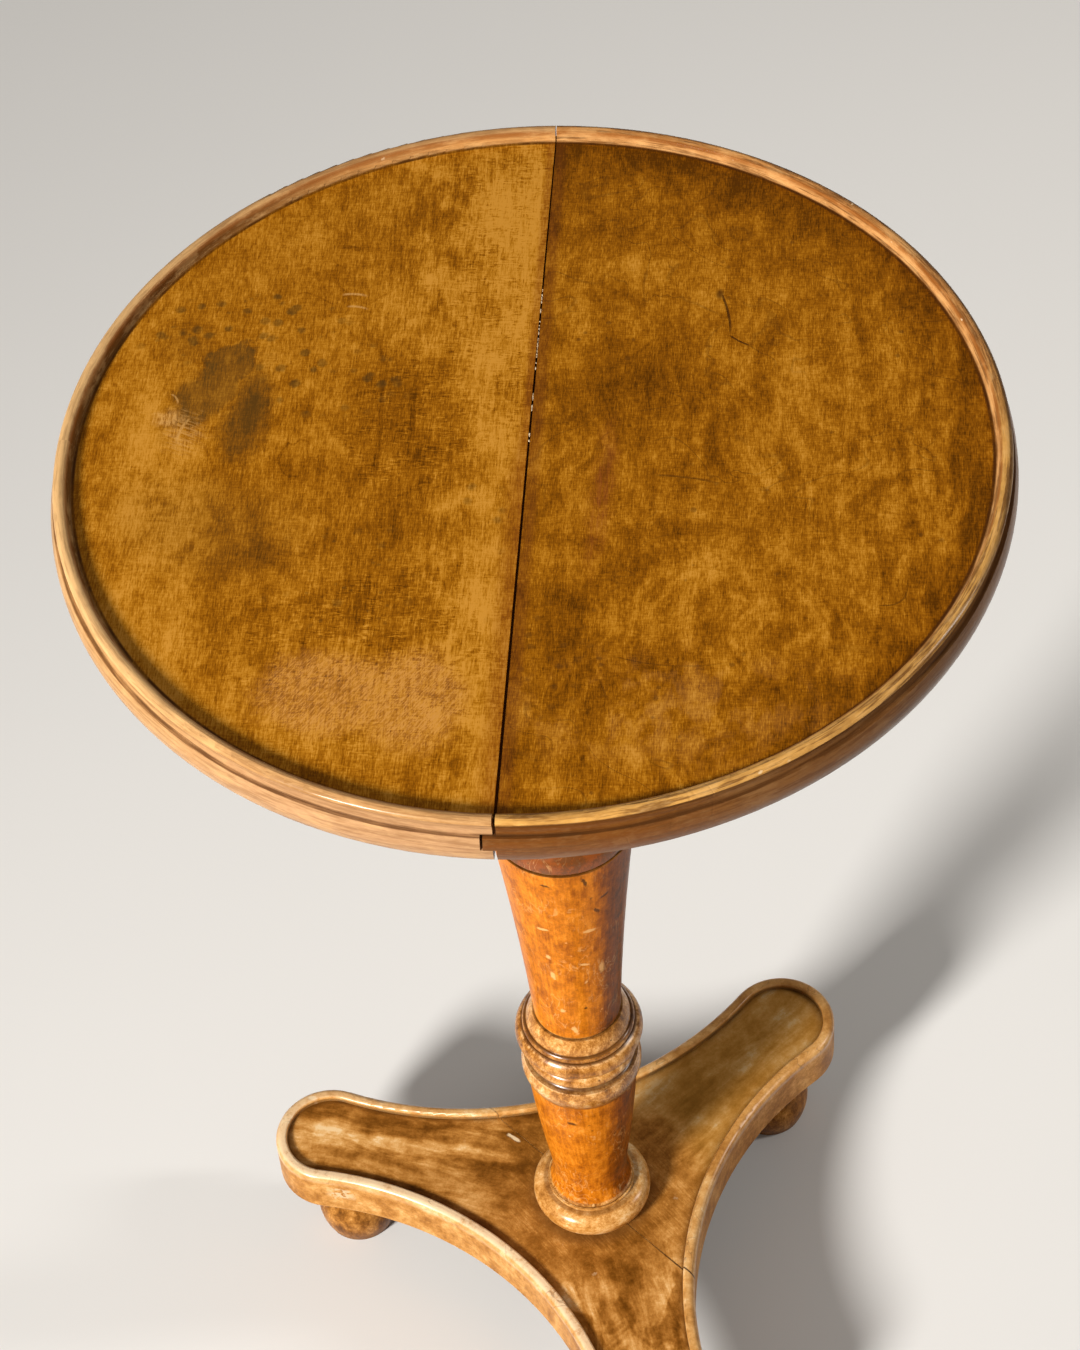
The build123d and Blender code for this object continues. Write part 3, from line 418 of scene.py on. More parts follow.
def left_board():
    """Lighter board: a golden rippled band beside the seam, a grey stain, ink spots and scuffs."""
    f = Finish("left_board")
    cloud, mottle, fleck, ripple, fibre = board_noises(f, 1)

    reach = f.plus((f.y, GOLD_SPREAD), GOLD_EDGE, f.around(cloud, 0.02), f.around(mottle, 0.05))
    gold = f.rise(f.plus(f.x, reach), -8 * MM, 9 * MM)
    gold = f.times(gold, f.rise(f.x, -50 * MM, -24 * MM, 0.72, 1.15), f.rise(cloud, 0.36, 0.56, 0.8, 1))
    lit_edge = f.times(f.band(f.x, -0.163, 0.012, 0.02), f.rise(f.y, 0.09, -0.02))
    dark = f.most(
        f.patch((-57, 24), (27, 35), 0.7, 1.1),
        (f.patch((-102, 108), (26, 20), 0.8, 1.2), 0.3),
        (f.patch((-58, -60), (12, 60), 0.9, 0.9), 0.3),
    )
    dark = f.times(dark, f.rise(f.plus((mottle, 0.5), (fibre, 0.5)), 0.42, 0.58, 0.35, 1))
    ripple_area = f.most(
        (gold, f.rise(f.y, -0.03, 0.04)), f.patch((-60, -125), (60, 55), 0.7, 0.8),
        f.patch((-55, 15), (30, 45), 0.7, 0.8),
    )
    rippled = f.times(ripple_area, f.rise(f.noise(7, 9, 2), 0.38, 0.62))
    strip = f.fall(f.math("SUBTRACT", SEAM, f.x), 2.4 * MM, f.rise(f.y, 0.04, -0.04, 6 * MM, 13 * MM))
    strip = f.times(strip, f.rise(fibre, 0.35, 0.6, 0.55, 1))

    scuff_area = f.most(
        f.patch((-79, -143), (30, 21), 0.3, 0.8),
        f.patch((-40, -147), (20, 26), 0.35, 0.8),
    )
    strands = f.noise((9, 0.9, 10), 13, 4, 0.7, 0.8, point=f.turned(f.point, 22))
    strands = f.rise(strands, 0.46, 0.6)
    smear = f.most(
        (f.patch((-168, 19), (6, 4.6), 0.6, 2.2, 8, 4), f.rise(fleck, 0.4, 0.55, 0.35, 0.8)),
        (f.patch((-160, 11), (8, 12), 0.7, 1.8, 8, 4), strands, 0.55),
        (f.stroke((-158, 20), (-162.5, 2), 1.1, -1.5), 0.7),
        (f.stroke((-169, 35), (-165, 28), 0.7, bow=1.2), 0.7),
        (f.stroke((-96, 101), (-83, 100), 1, 1), 0.8),
        (f.stroke((-93, 93), (-82, 91), 0.9, 1), 0.7),
    )
    stain = f.most(
        f.patch((-144, 54), (12, 15), 0.16, 1.6, angle=-20, ragged_size=14),
        f.patch((-153, 34), (12, 24), 0.4, 1.5, angle=-26, ragged_size=16),
        (f.patch((-132, 24), (10, 30), 0.5, 1.4, angle=-4), 0.75),
        (f.patch((-165, 66), (10, 12), 0.9, 1.5), 0.25),
        (f.patch((-142, -48), (36, 24), 0.8, 0.8, angle=-20), 0.45),
    )
    stain = f.times(stain, f.rise(f.plus(mottle, f.around(fleck, 0.35)), 0.34, 0.6, 1, 0.72))
    rub = f.noise((3.4, 0.55, 10), 4, 3, 0.7, 0.5, point=f.turned(f.point, -58))
    rub = f.rise(rub, 0.42, 0.64)
    ring = f.vector(
        "LENGTH", f.vector("MULTIPLY", f.vector("SUBTRACT", f.point, (-0.105, -0.004, 0)), (1, 0.8, 0)),
    )
    marks = f.most(
        (
            f.band(f.plus(ring, f.around(mottle, 0.012)), 8.5 * MM, 0.15 * MM, 0.6 * MM),
            f.rise(f.x, -0.1, -0.106), 0.8,
        ),
        f.stroke((-36, -131), (-14, -116), 1.5, bow=-2),
        f.stroke((-100, 134), (-88, 130), 2.2, bow=1.2),
        (f.stroke((-125, 42), (-123.5, 6), 1.1, bow=1.5), 0.8),
        (f.stroke((-175, -44), (-150, -45), 0.5), 0.6),
        (f.stroke((-72, 50), (-70, -20), 1.6, bow=1), 0.7),
        (f.stroke((-56, 44), (-54, 4), 1.9, bow=-1), 0.7),
        (curls(f, 45, 12), f.rise(cloud, 0.46, 0.6), 0.35),
    )
    scratch = wear(f, 20)

    tone = f.plus(
        LEFT_TONE,
        f.around(cloud, 0.34),
        f.around(mottle, 1.1),
        f.around(fleck, 1.3),
        (f.around(ripple, 1), f.rise(rippled, 0, 1, 0.55, 1.7)),
        (f.around(fibre, 1.15), f.rise(f.x, -0.12, -0.06, 0.4, 1)),
        (gold, 0.24),
        (lit_edge, 0.22),
        (dark, -0.34),
        (stain, -0.46),
        (strip, -0.3),
        (scuff_area, f.rise(rub, 0, 1, 0.03, 0.42)),
        (marks, -0.26),
        (scratch, 0.1),
        (hairlines(f, 86, 24, 0.3, 0.2, 26), -0.13),
        (f.patch((-75, -166), (55, 16), 0.8, 0.6), 0.1),
        (f.patch((-100, -85), (60, 50), 0.8, 0.6), -0.1),
    )
    colour = f.ramp(tone, BOARD_TONES)
    colour = f.mix((stain, 0.55), colour, (0.125, 0.066, 0.012))
    colour = f.mix((smear, f.rise(fleck, 0.32, 0.55, 0.4, 0.8)), colour, (0.7, 0.38, 0.115))

    near = f.patch((-140, 80), (50, 22), 0.2, 0.4, angle=10)
    middle = f.patch((-98, 46), (40, 24), 0.2, 0.4)
    low = f.patch((-78, -80), (30, 34), 0.4, 0.5)
    seam_side = f.patch((-20, -52), (12, 52), 0.4, 0.5)
    ink = f.most(
        spots(f, (near, middle), 9.5, 2.4, 41),
        (spots(f, (low, seam_side, middle), 12, 2.1, 45), 0.7),
        (spots(f, (near, low), 6, 0.9, 49), 0.6),
    )
    colour = f.mix((ink, f.rise(mottle, 0.36, 0.62, 0.75, 0.4)), colour, (0.075, 0.036, 0.006))
    colour = f.mix((strip, 0.35), colour, (0.21, 0.046, 0.01))
    colour = f.mix((scuff_area, f.rise(rub, 0, 1, 0.12, 0.42)), colour, (0.6, 0.28, 0.09))

    # Inner wall of the rim: dark on the left, where it faces away from the lamp, and pale elsewhere:
    # painted shade and painted light.
    wall_painted_light_and_shade = f.mix(towards(f, 172, 0.5, 0.9), (0.54, 0.26, 0.08), (0.15, 0.058, 0.012))
    # Crest and outside made lighter towards the left, where the lamp falls: their own cream with painted
    # light; the outside's pale pink is partly a painted highlight.
    crest = f.mix(towards(f, 185, 0.5, 0.95), (0.47, 0.245, 0.092), (0.72, 0.43, 0.18))
    outside = f.mix(towards(f, 185, 0.5, 0.95), (0.48, 0.265, 0.125), (0.56, 0.31, 0.12))
    colour, gloss = rim_colour(f, colour, mottle, 30, crest, wall_painted_light_and_shade, outside, 0.35)
    colour, under = bare_underside(f, colour, 40)

    return waxed(f, colour, mottle, fleck, scratch, under, gloss, (scuff_area, 0.08), (ripple, 0.3))


def right_board():
    """Darker board: mottled brown, soft streaks along the seam and curled grain in front."""
    f = Finish("right_board")
    cloud, mottle, fleck, ripple, fibre = board_noises(f, 51)
    r = ring_distance(f)

    eddy = f.join(f.around(f.noise(55, 52, 1), 0.075), f.around(f.noise(55, 54, 1), 0.075), 0)
    flow = f.noise((8, 34, 100), 56, 4, 0.62, point=f.vector("ADD", f.point, eddy))
    curl_point = f.vector("MULTIPLY", f.vector("SUBTRACT", f.point, (0.088, -0.128, 0)), (1, 0.75, 0))
    curl_angle = f.math("ARCTAN2", f.dot(curl_point, 0, 1, 0), f.dot(curl_point, 1, 0, 0))
    curl_radius = f.plus(f.vector("LENGTH", curl_point), f.around(cloud, 0.03))
    curl = f.noise((5, 34, 100), 55, 3, 0.6, point=f.join(curl_radius, f.times(curl_angle, 0.032), 0))
    curl_area = f.patch((92, -108), (72, 72), 0.6, 0.8)
    pale = f.most(
        f.patch((94, -124), (10, 18), 0.7, 1.4),
        (f.patch((124, 26), (16, 44), 0.9, 1.5), 0.8),
        (f.patch((170, 60), (10, 50), 0.9, 1.2, angle=8), 0.35),
        (f.patch((62, 118), (42, 34), 0.9, 1.5), 0.3),
        (f.patch((14, 88), (10, 22), 0.8, 1.2), 0.6),
        (f.patch((82, -62), (16, 46), 0.9, 1.3, angle=-24), 0.6),
        (f.patch((118, -70), (50, 46), 0.9, 1.3), 0.55),
        (f.patch((102, -88), (20, 10), 0.8, 1.2, angle=-30), 0.6),
    )
    dark = f.most(
        (f.patch((19, -108), (13, 30), 0.8, 1.3), 0.8),
        f.patch((47, 38), (30, 26), 0.8, 1.5),
        f.patch((82, 12), (3.5, 16), 0.6, 0.7),
        (f.patch((74, -47), (20, 5.5), 0.6, 0.9, angle=10), 1),
        (f.patch((64, -62), (13, 6), 0.7, 1, angle=14), 0.7),
        (f.patch((122, -130), (10, 22), 0.8, 1.3), 0.4),
        (f.patch((62, -122), (12, 8), 0.8, 1.3), 0.6),
        (f.patch((92, -140), (7, 6), 0.8, 1.2), 0.7),
    )
    dark = f.times(dark, f.rise(mottle, 0.4, 0.6, 0.4, 1))
    streaks = f.noise(
        (4.5, 110, 20), 57, 2, 0.6, point=f.vector("ADD", f.point, f.join(f.times(cloud, 0.02), 0, 0)),
    )
    streak_area = f.rise(f.x, 0.1, 0.16, 0.25, 1)
    cut = f.most(
        f.stroke((82.2, 105), (88, 74.5), 0.8, bow=1.4),
        f.stroke((87.6, 75.2), (98.5, 68), 0.65, bow=-0.8),
        (f.patch((82.4, 102.5), (1.7, 3), 0.6, 0.6), 0.9),
        (f.stroke((156, -90), (169, -78), 0.7, bow=-5), 0.55),
        (f.stroke((56, -14), (87, -19), 0.9, bow=1.2), 0.55),
        (f.stroke((42, -120), (95, -123), 0.6, bow=-4), 0.35),
        (f.stroke((38, -133), (42, -145), 0.7), 0.45),
        (curls(f, 50, 62), f.rise(cloud, 0.46, 0.6), 0.3),
    )
    strip = f.fall(f.math("SUBTRACT", f.x, SEAM), 3 * MM, 7.5 * MM)
    strip = f.times(strip, f.rise(fibre, 0.35, 0.6, 0.55, 1))
    beside_seam = f.times(
        f.fall(f.plus(f.x, f.around(cloud, 0.012)), 12 * MM, 28 * MM), f.fall(f.y, 0.04, 0.08),
    )
    shade = f.times(f.rise(r, *beyond(PANEL_RADIUS, -30, -2)), towards(f, 20, -0.2, 0.5))
    scratch = wear(f, 70)

    tone = f.plus(
        RIGHT_TONE,
        f.around(cloud, 0.26),
        f.around(mottle, 1.05),
        (f.around(flow, 1), f.rise(f.y, 0.14, 0.02, 0.6, 1)),
        f.around(fleck, 1.25),
        f.around(ripple, 0.6),
        f.around(fibre, 0.6),
        (pale, 0.18),
        (dark, -0.32),
        (f.around(curl, 0.55), curl_area),
        (f.around(streaks, 0.6), streak_area),
        (strip, -0.18),
        (beside_seam, -0.01),
        (hairlines(f, 96, 20, 0.3, 0.2, 76), -0.12),
        (shade, -0.24),
        (f.rise(f.y, 0.1, 0.18), -0.13),
        (scratch, 0.09),
    )
    colour = f.ramp(tone, BOARD_TONES)
    colour = f.mix((cut, 0.85), colour, (0.06, 0.018, 0.002))
    speck_area = f.rise(f.noise(35, 8, 2), 0.5, 0.62)
    speck = f.most(
        spots(f, (speck_area,), 9, 1.1, 65, 0.05),
        (spots(f, (f.patch((14, -122), (16, 34), 0.4, 0.6),), 7, 1.7, 68), 0.8),
    )
    colour = f.mix((speck, 0.5), colour, (0.085, 0.03, 0.004))
    red = f.times(
        f.patch((33.5, -25), (4.5, 32), 0.9, 1.6, angle=-3), f.rise(fibre, 0.4, 0.6, 0.15, 0.55),
    )
    colour = f.mix(red, colour, (0.235, 0.052, 0.012))
    colour = f.mix((strip, 0.35), colour, (0.15, 0.036, 0.007))
    bloom = f.times(f.patch((70, -150), (55, 24), 0.9, 0.8), f.rise(mottle, 0.45, 0.62), 0.14)
    colour = f.mix(bloom, colour, (0.33, 0.17, 0.075))

    near_right = towards(f, -50, 0.3, 0.75)
    crest = f.mix(near_right, (0.46, 0.2, 0.055), (0.64, 0.33, 0.08))
    # Outer half of the crest darkened on the far right, where it faces away from the lamp: painted shade.
    outer_half_shade = f.times(f.rise(r, *beyond(TOP_RADIUS, -5, -4)), towards(f, 50, 0.2, 0.7))
    crest = f.mix(outer_half_shade, crest, (0.15, 0.068, 0.014))
    outside = f.mix(towards(f, -88, 0.88, 0.99), (0.19, 0.08, 0.024), (0.15, 0.046, 0.007))
    # The right board's inner wall in pale orange: partly its own colour, partly painted light where it
    # faces the lamp.
    colour, gloss = rim_colour(f, colour, mottle, 80, crest, (0.54, 0.26, 0.085), outside, 0.85)
    colour, under = bare_underside(f, colour, 90)

    return waxed(f, colour, mottle, fleck, scratch, under, gloss, (cloud, 0.05), (cut, -2))


def rim_colour(f, colour, mottle, seed, crest_colour, wall_painted_light_and_shade, outside_colour, dirty):
    """The moulded rim over the board's colour: rubbed crest, streaks round it, dirt in its quirk, painted
    shade at the foot of its inner wall.
    """
    rim, wall, edge, crest, outside, quirk, foot = rim_parts(f)
    streak = around_rim(f, 26, 1.5, seed)
    blotch = around_rim(f, 17, 7, seed + 1)
    fine = around_rim(f, 5, 0.7, seed + 2, detail=2)
    tone = f.mix(outside, crest_colour, outside_colour)
    tone = f.mix(wall, tone, wall_painted_light_and_shade)
    tone = f.mix((f.rise(blotch, 0.46, 0.66), 0.5 * dirty), tone, (0.215, 0.085, 0.018))
    tone = f.mix((f.rise(streak, 0.46, 0.6), 0.9 * dirty), tone, (0.12, 0.042, 0.009))
    tone = f.mix((f.rise(fine, 0.5, 0.72), 0.2), tone, (0.29, 0.12, 0.028))
    clean = f.rise(f.times(outside, dirty), 0.2, 0.8, 1, 0.25)
    tone = f.mix((f.fall(fine, 0.34, 0.5), clean, 0.14), tone, (0.82, 0.52, 0.22))
    tone = f.mix((f.fall(blotch, 0.36, 0.5), clean, 0.24), tone, (0.8, 0.48, 0.19))
    grime = f.times(quirk, f.rise(streak, 0.35, 0.58, 0.35, 0.95), 0.5 + 0.5 * dirty)
    tone = f.mix(grime, tone, (0.085, 0.032, 0.009))
    tone = f.mix((edge, f.rise(blotch, 0.38, 0.6, 0.35, 0.75)), tone, (0.27, 0.085, 0.014))
    colour = f.mix(rim, colour, tone)
    # Dark line at the foot of the inner wall: painted shade in that corner.
    foot_shade_line = f.times(foot, f.rise(mottle, 0.4, 0.6, 0.6, 0.95))
    colour = f.mix(foot_shade_line, colour, (0.06, 0.018, 0.003))
    wobble = f.around(f.noise(1.5, seed + 3), 0.3)
    nick = f.fall(f.plus(f.cells((15, 15, 10), seed=seed + 14), wobble), 0.03, 0.09)
    nick = f.times(nick, f.most(crest, edge), rim)
    colour = f.mix((nick, 0.6), colour, (0.86, 0.66, 0.4))
    gloss = f.times(rim, f.rise(wall, 0, 1, 1, -0.36), f.rise(outside, 0, 1, 1, 0.3 + 0.7 * dirty))
    return colour, gloss


# ---------------------------------------------------------------- pillar
# Colour of the pillar's orange shellac by its lightness.
PILLAR_TONES = (
    (0.00, (0.110, 0.028, 0.001)),
    (0.30, (0.330, 0.082, 0.003)),
    (0.55, (0.620, 0.185, 0.008)),
    (0.70, (0.750, 0.255, 0.020)),
    (0.85, (0.860, 0.350, 0.055)),
    (1.00, (0.920, 0.520, 0.160)),
)
# Colour of the turned rings, collar, platform and feet, whose finish has gone browner.
BASE_TONES = (
    (0.00, (0.062, 0.018, 0.001)),
    (0.25, (0.180, 0.062, 0.006)),
    (0.42, (0.295, 0.110, 0.015)),
    (0.60, (0.470, 0.200, 0.038)),
    (0.76, (0.640, 0.315, 0.085)),
    (0.90, (0.780, 0.450, 0.165)),
    (1.00, (0.860, 0.600, 0.310)),
)


def bands(f, rows):
    """One in any of several bands of height."""
    return f.most(*[f.band(f.z, *row) for row in rows])


def round_pillar(f):
    """Point on the unrolled surface: arc length at the trumpet's mean radius, then height."""
    angle = f.math("ARCTAN2", f.x, f.times(f.y, -1))
    return f.join(f.times(angle, UNROLLED_RADIUS), f.z, 0)


def dab(f, unrolled, wobble, centre, radii, angle):
    """One inside an ellipse on the unrolled pillar; the wobble makes its edge ragged."""
    offset = f.turned(f.vector("SUBTRACT", unrolled, (*centre, 0)), -angle)
    distance = f.vector("LENGTH", f.vector("MULTIPLY", offset, (1 / radii[0], 1 / radii[1], 0)))
    return f.fall(f.plus(distance, wobble), 1 - DAB_SOFTNESS, 1 + DAB_SOFTNESS)


def dabs(f, unrolled, wobble, marks):
    """Several ellipses, each (centre, radii, angle) in millimetres and degrees."""
    found = 0.0
    for (x, z), (wide, tall), angle in marks:
        found = f.most(found, dab(f, unrolled, wobble, metres(x, z), metres(wide, tall), angle))
    return found


# Rubbed pale places and dark bruises on the front of the pillar: place, half sizes, turn.
PALE_MARKS = (
    ((-10, 352), (1.4, 2.0), 0), ((-9, 334), (1.4, 3.4), 10), ((-6, 299), (2.0, 1.6), 0),
    ((1, 280), (1.7, 4.2), 24), ((10, 345), (2.8, 0.9), -18), ((-11, 379), (3.4, 1.0), 8),
    ((13, 377), (3.6, 1.2), -6), ((20, 336), (1.6, 5.0), 0),
)
DARK_MARKS = (
    ((-6, 424), (2.0, 1.0), -10), ((21, 405), (2.2, 1.2), 20), ((17, 394), (1.0, 3.0), 25),
    ((9, 301), (1.1, 1.1), 0), ((11, 426), (0.8, 5.0), 12), ((-5, 195), (2.8, 1.4), -10),
)


def pillar_wood():
    """Orange shellac over pale wood: glossy, nicked, specked, with dirt in the turned grooves and painted
    shade down its right side.
    """
    f = Finish("pillar_wood")
    unrolled = round_pillar(f)
    wobble = f.around(f.noise(2, 104, 4, 0.65), 2.2)
    scattered = f.fall(f.plus(f.cells((8, 12, 1000), unrolled, seed=3), (wobble, 0.2)), 0.05, 0.12)
    scattered = f.times(scattered, f.rise(f.noise(30, 105, 2), 0.5, 0.6), 0.8)
    hair = f.times(curls(f, (9, 9, 20), 109, 0.016), f.rise(f.noise(28, 107, 2), 0.5, 0.62), 0.4)
    pale = f.most(scattered, hair, dabs(f, unrolled, wobble, PALE_MARKS))
    specks = f.fall(f.plus(f.cells((10, 10, 1000), unrolled, seed=8), (wobble, 0.15)), 0.04, 0.09)
    specks = f.times(specks, f.rise(f.noise(25, 108, 2), 0.46, 0.6), f.rise(f.x, -0.005, 0.01, 0.3, 1))
    speck = f.most(specks, dabs(f, unrolled, wobble, DARK_MARKS))

    streak = grain(f, "z", 1.6, 45, 101, detail=4, roughness=0.6)
    cloud = f.noise((20, 20, 40), 102, 2, 0.6)
    mottle = f.noise((9, 9, 12), 103, 6, 0.85)
    ring = bands(f, BROWN_RINGS)
    step = f.times(f.band(f.z, *UPPER_STEP), 0.6)

    # The pillar darkened down its right side, where it turns away from the lamp: painted shade.
    painted_shade_right = towards(f, -5, 0.45, 0.98)
    flat_tone = f.plus(
        0.5, f.around(cloud, 0.25), f.around(mottle, 1.3), f.around(streak, 0.55), (painted_shade_right, -0.34),
    )
    colour = f.ramp(flat_tone, PILLAR_TONES)
    ring_tone = f.plus(
        0.57, f.around(mottle, 2.6), f.around(cloud, 0.6), (f.band(f.z, *DARK_STEP), -0.15),
    )
    ring_colour = f.ramp(ring_tone, BASE_TONES)
    colour = f.mix(f.most((ring, 0.92), step), colour, ring_colour)
    shoulder = f.times(f.rise(f.z, *SHOULDER_FOOT), f.fall(f.z, *SHOULDER_TOP))
    colour = f.mix(
        (shoulder, 0.92), colour,
        f.mix(f.rise(mottle, 0.42, 0.56), (0.24, 0.056, 0.008), (0.1, 0.024, 0.004)),
    )
    colour = f.mix((pale, 0.72), colour, (0.9, 0.53, 0.2))
    colour = f.mix((speck, 0.85), colour, (0.06, 0.018, 0.002))

    worn = bands(f, WORN_EDGES)
    colour = f.mix((worn, f.rise(mottle, 0.44, 0.54), 0.55), colour, (0.86, 0.52, 0.23))
    grooves = bands(f, [(height, GROOVE_DIRT * 0.3, GROOVE_DIRT) for height in PILLAR_GROOVES])
    dirt = f.times(grooves, f.rise(mottle, 0.4, 0.58, 0.45, 0.9))
    foot_dirt = f.times(f.band(f.z, *FOOT_DIRT), f.rise(mottle, 0.46, 0.6, 0.35, 0.9))
    cove_dirt = f.times(f.band(f.z, *COVE_DIRT), 0.85)
    pocket = f.rise(f.crevice(5), 0.25, 0.7)
    dirt = f.most(dirt, foot_dirt, cove_dirt, pocket)
    colour = f.mix((dirt, 0.9), colour, (0.055, 0.02, 0.006))
    grey = f.times(f.band(f.z, *GREY_DUST), f.rise(mottle, 0.45, 0.6), 0.45)
    colour = f.mix(grey, colour, (0.33, 0.215, 0.135))

    height = f.plus(
        (mottle, 1.4), (streak, 0.2), (pale, -0.5), (speck, -0.8), (ring, f.around(mottle, 2)),
    )
    roughness = f.plus(0.3, (mottle, 0.1), (dirt, 0.35), (pale, 0.12))
    return f.finish(
        colour, roughness, height, 0.14, coat=f.rise(f.most(ring, shoulder), 0, 1, 0.14, 0.9),
        **SHELLAC,
    )


def collar_wood():
    """The base collar and its browner, dirtier shellac."""
    f = Finish("collar_wood")
    mottle = f.noise((12, 12, 8), 121, 6, 0.85)
    cloud = f.noise(22, 122, 1)
    tone = f.plus(0.76, f.around(mottle, 2), f.around(cloud, 0.5))
    colour = f.ramp(tone, BASE_TONES)
    low = f.fall(f.z, *beyond(collar_low.z, 0.5, 3))
    crease = f.band(f.z, collar_high.z - 2 * MM, 0.1 * MM, 0.4 * MM)
    dirt = f.most((low, 0.7), (crease, 0.5), f.rise(f.crevice(4), 0.35, 0.85, 0, 0.8))
    colour = f.mix((dirt, 0.85), colour, (0.08, 0.03, 0.009))
    height = f.times(mottle, 2)
    roughness = f.plus(0.26, (mottle, 0.1), (dirt, 0.35))
    return f.finish(colour, roughness, height, 0.16, coat=0.75, **SHELLAC)


# ---------------------------------------------------------------- platform and feet
ARM_ANGLES = (168.3, 48.3, -71.7)
JOINT_ANGLE = -41.5
JOINT_OFFSET = -2.5 * MM
PLATFORM_SEED = 131.0               # one for both boards, so that the pattern crosses the joint
CHIP_BAND = (0.0705, 0.003, 0.003)  # height of the chips in the left arm's side, as a band


def arm_streaks(f, seed):
    """Streaks that run along each arm, and how far each arm's own streaks reach in."""
    streaks, reach = [], []
    for angle in ARM_ANGLES:
        along = f.turned(f.point, -angle)
        noise = f.noise((46, 11, 20), seed, 4, 0.62, 0.4, point=along)
        share = f.rise(f.dot(along, 1, 0, 0), 0.03, 0.065)
        streaks.append(f.times(f.around(noise, 1), share))
        reach.append(share)
    return f.plus(*streaks), f.most(*reach)


def platform_wood(name, seed):
    """Soft brown clouds and lengthwise pale streaks, a creamy lip with a painted highlight, painted shade
    inside the lip and round the collar, painted light on the right arm.
    """
    f = Finish(name)
    cloud = f.noise(45, seed, 2, 0.6, 0.4)
    mottle = f.noise(16, seed + 1, 6, 0.8)
    streak, arms = arm_streaks(f, seed + 2)
    hatch = f.noise((9, 0.9, 3), seed + 3, 3, 0.65, point=f.turned(f.point, 48))
    hatch_area = f.times(f.invert(arms), f.rise(mottle, 0.42, 0.55))

    left = f.turned(f.point, -ARM_ANGLES[0])
    across_left = f.dot(left, 0, 1, 0)
    along_left = f.dot(left, 1, 0, 0)
    middle_band = f.times(
        f.band(f.plus(across_left, f.around(cloud, 0.016)), 3 * MM, 9 * MM, 9 * MM),
        f.rise(along_left, 0.06, 0.09),
    )
    far_side = f.times(f.fall(across_left, -18 * MM, -10 * MM), f.rise(along_left, 0.03, 0.06))
    # The right arm made lighter and warmer, standing in for light that the top's shadow takes off it:
    # painted light.
    right = f.times(towards(f, ARM_ANGLES[1], 0.55, 0.95), f.rise(ring_distance(f), 0.05, 0.08))
    cream = f.times(
        towards(f, ARM_ANGLES[2], 0.55, 0.95), f.rise(ring_distance(f), 0.055, 0.08),
        f.rise(f.noise((20, 34, 20), seed + 8, 3, 0.6, 0.6), 0.41, 0.53),
    )
    shadowed = f.patch((20, -46), (22, 20), 0.8, 1)

    tone = f.plus(
        0.46,
        f.around(cloud, 0.7),
        f.around(mottle, 1.2),
        (streak, f.rise(right, 0, 1, 1.6, 1.2)),
        (f.around(hatch, 0.6), hatch_area),
        (middle_band, 0.25),
        (far_side, -0.12),
        (right, 0.26),
        (cream, 0.28),
        (shadowed, -0.12),
    )
    colour = f.ramp(tone, BASE_TONES)
    colour = f.mix((right, 0.5), colour, (0.34, 0.165, 0.02))

    side = f.fall(f.z, *beyond(PLATFORM_PANEL, -1, -0.2))
    side_tone = f.plus(0.65, f.around(cloud, 0.5), f.around(mottle, 1.6))
    chips_side = f.most(
        f.patch((-150, -6), (8.5, 8.5), 0.4, 1, ragged_size=4),
        (f.patch((-133, -20), (7, 6), 0.4, 1.2, ragged_size=3), 0.7),
    )
    chips_side = f.times(
        chips_side, f.band(f.z, *CHIP_BAND),
        f.rise(f.noise(3.5, seed + 9, 3, 0.6), 0.42, 0.5),
    )
    colour = f.mix(side, colour, f.ramp(side_tone, BASE_TONES))

    upward = f.dot(f.normal, 0, 0, 1)
    panel = f.times(f.fall(f.z, *beyond(PLATFORM_PANEL, 0.2, 0.6)), f.rise(upward, 0.8, 0.97))
    lip = f.times(f.rise(f.z, *beyond(PLATFORM_PANEL, -3.5, 0.5)), f.invert(panel))
    lip_tone = f.plus(0.83, f.around(cloud, 0.3), f.around(mottle, 1.3), (right, -0.12))
    colour = f.mix((lip, 0.92), colour, f.ramp(lip_tone, BASE_TONES))
    # Pale cream on the lip's crest where it faces the window lamp: a painted highlight.
    lip_painted_highlight = f.times(lip, f.rise(f.z, *beyond(PLATFORM_PANEL, 2.2, 3.2)), f.rise(upward, 0.55, 0.9))
    lip_painted_highlight = f.times(lip_painted_highlight, towards(f, -138, 0.3, 0.75), f.rise(mottle, 0.36, 0.5, 0.3, 0.75))
    colour = f.mix(lip_painted_highlight, colour, (0.88, 0.68, 0.44))
    crack = f.times(curls(f, 20, seed + 7, 0.01), lip, f.rise(cloud, 0.48, 0.6), 0.45)
    colour = f.mix(crack, colour, (0.16, 0.062, 0.014))

    # Darkening along the inside of the lip, where the step throws its shade: painted shade.
    crease = f.rise(f.crevice(7), 0.1, 0.42)
    crease = f.times(crease, upper_mask(f), f.fall(f.z, *beyond(PLATFORM_PANEL, 2, 4)))
    colour = f.mix((crease, f.rise(mottle, 0.38, 0.58, 0.6, 1), 0.85), colour, (0.07, 0.026, 0.005))
    # Darker ring on the platform round the collar's foot: painted shade.
    shade_round_collar = f.fall(ring_distance(f), *beyond(collar_high.x, -2, 7))
    colour = f.mix((shade_round_collar, upper_mask(f), 0.6), colour, (0.13, 0.048, 0.01))

    across_joint = f.dot(f.turned(f.point, -JOINT_ANGLE), 0, 1, 0)
    joint = f.times(
        f.band(across_joint, JOINT_OFFSET, 0.15 * MM, 0.6 * MM), upper_mask(f),
        f.rise(f.x, 0.03, 0.052, 0.25, 0.9),
    )
    colour = f.mix(joint, colour, (0.045, 0.016, 0.004))

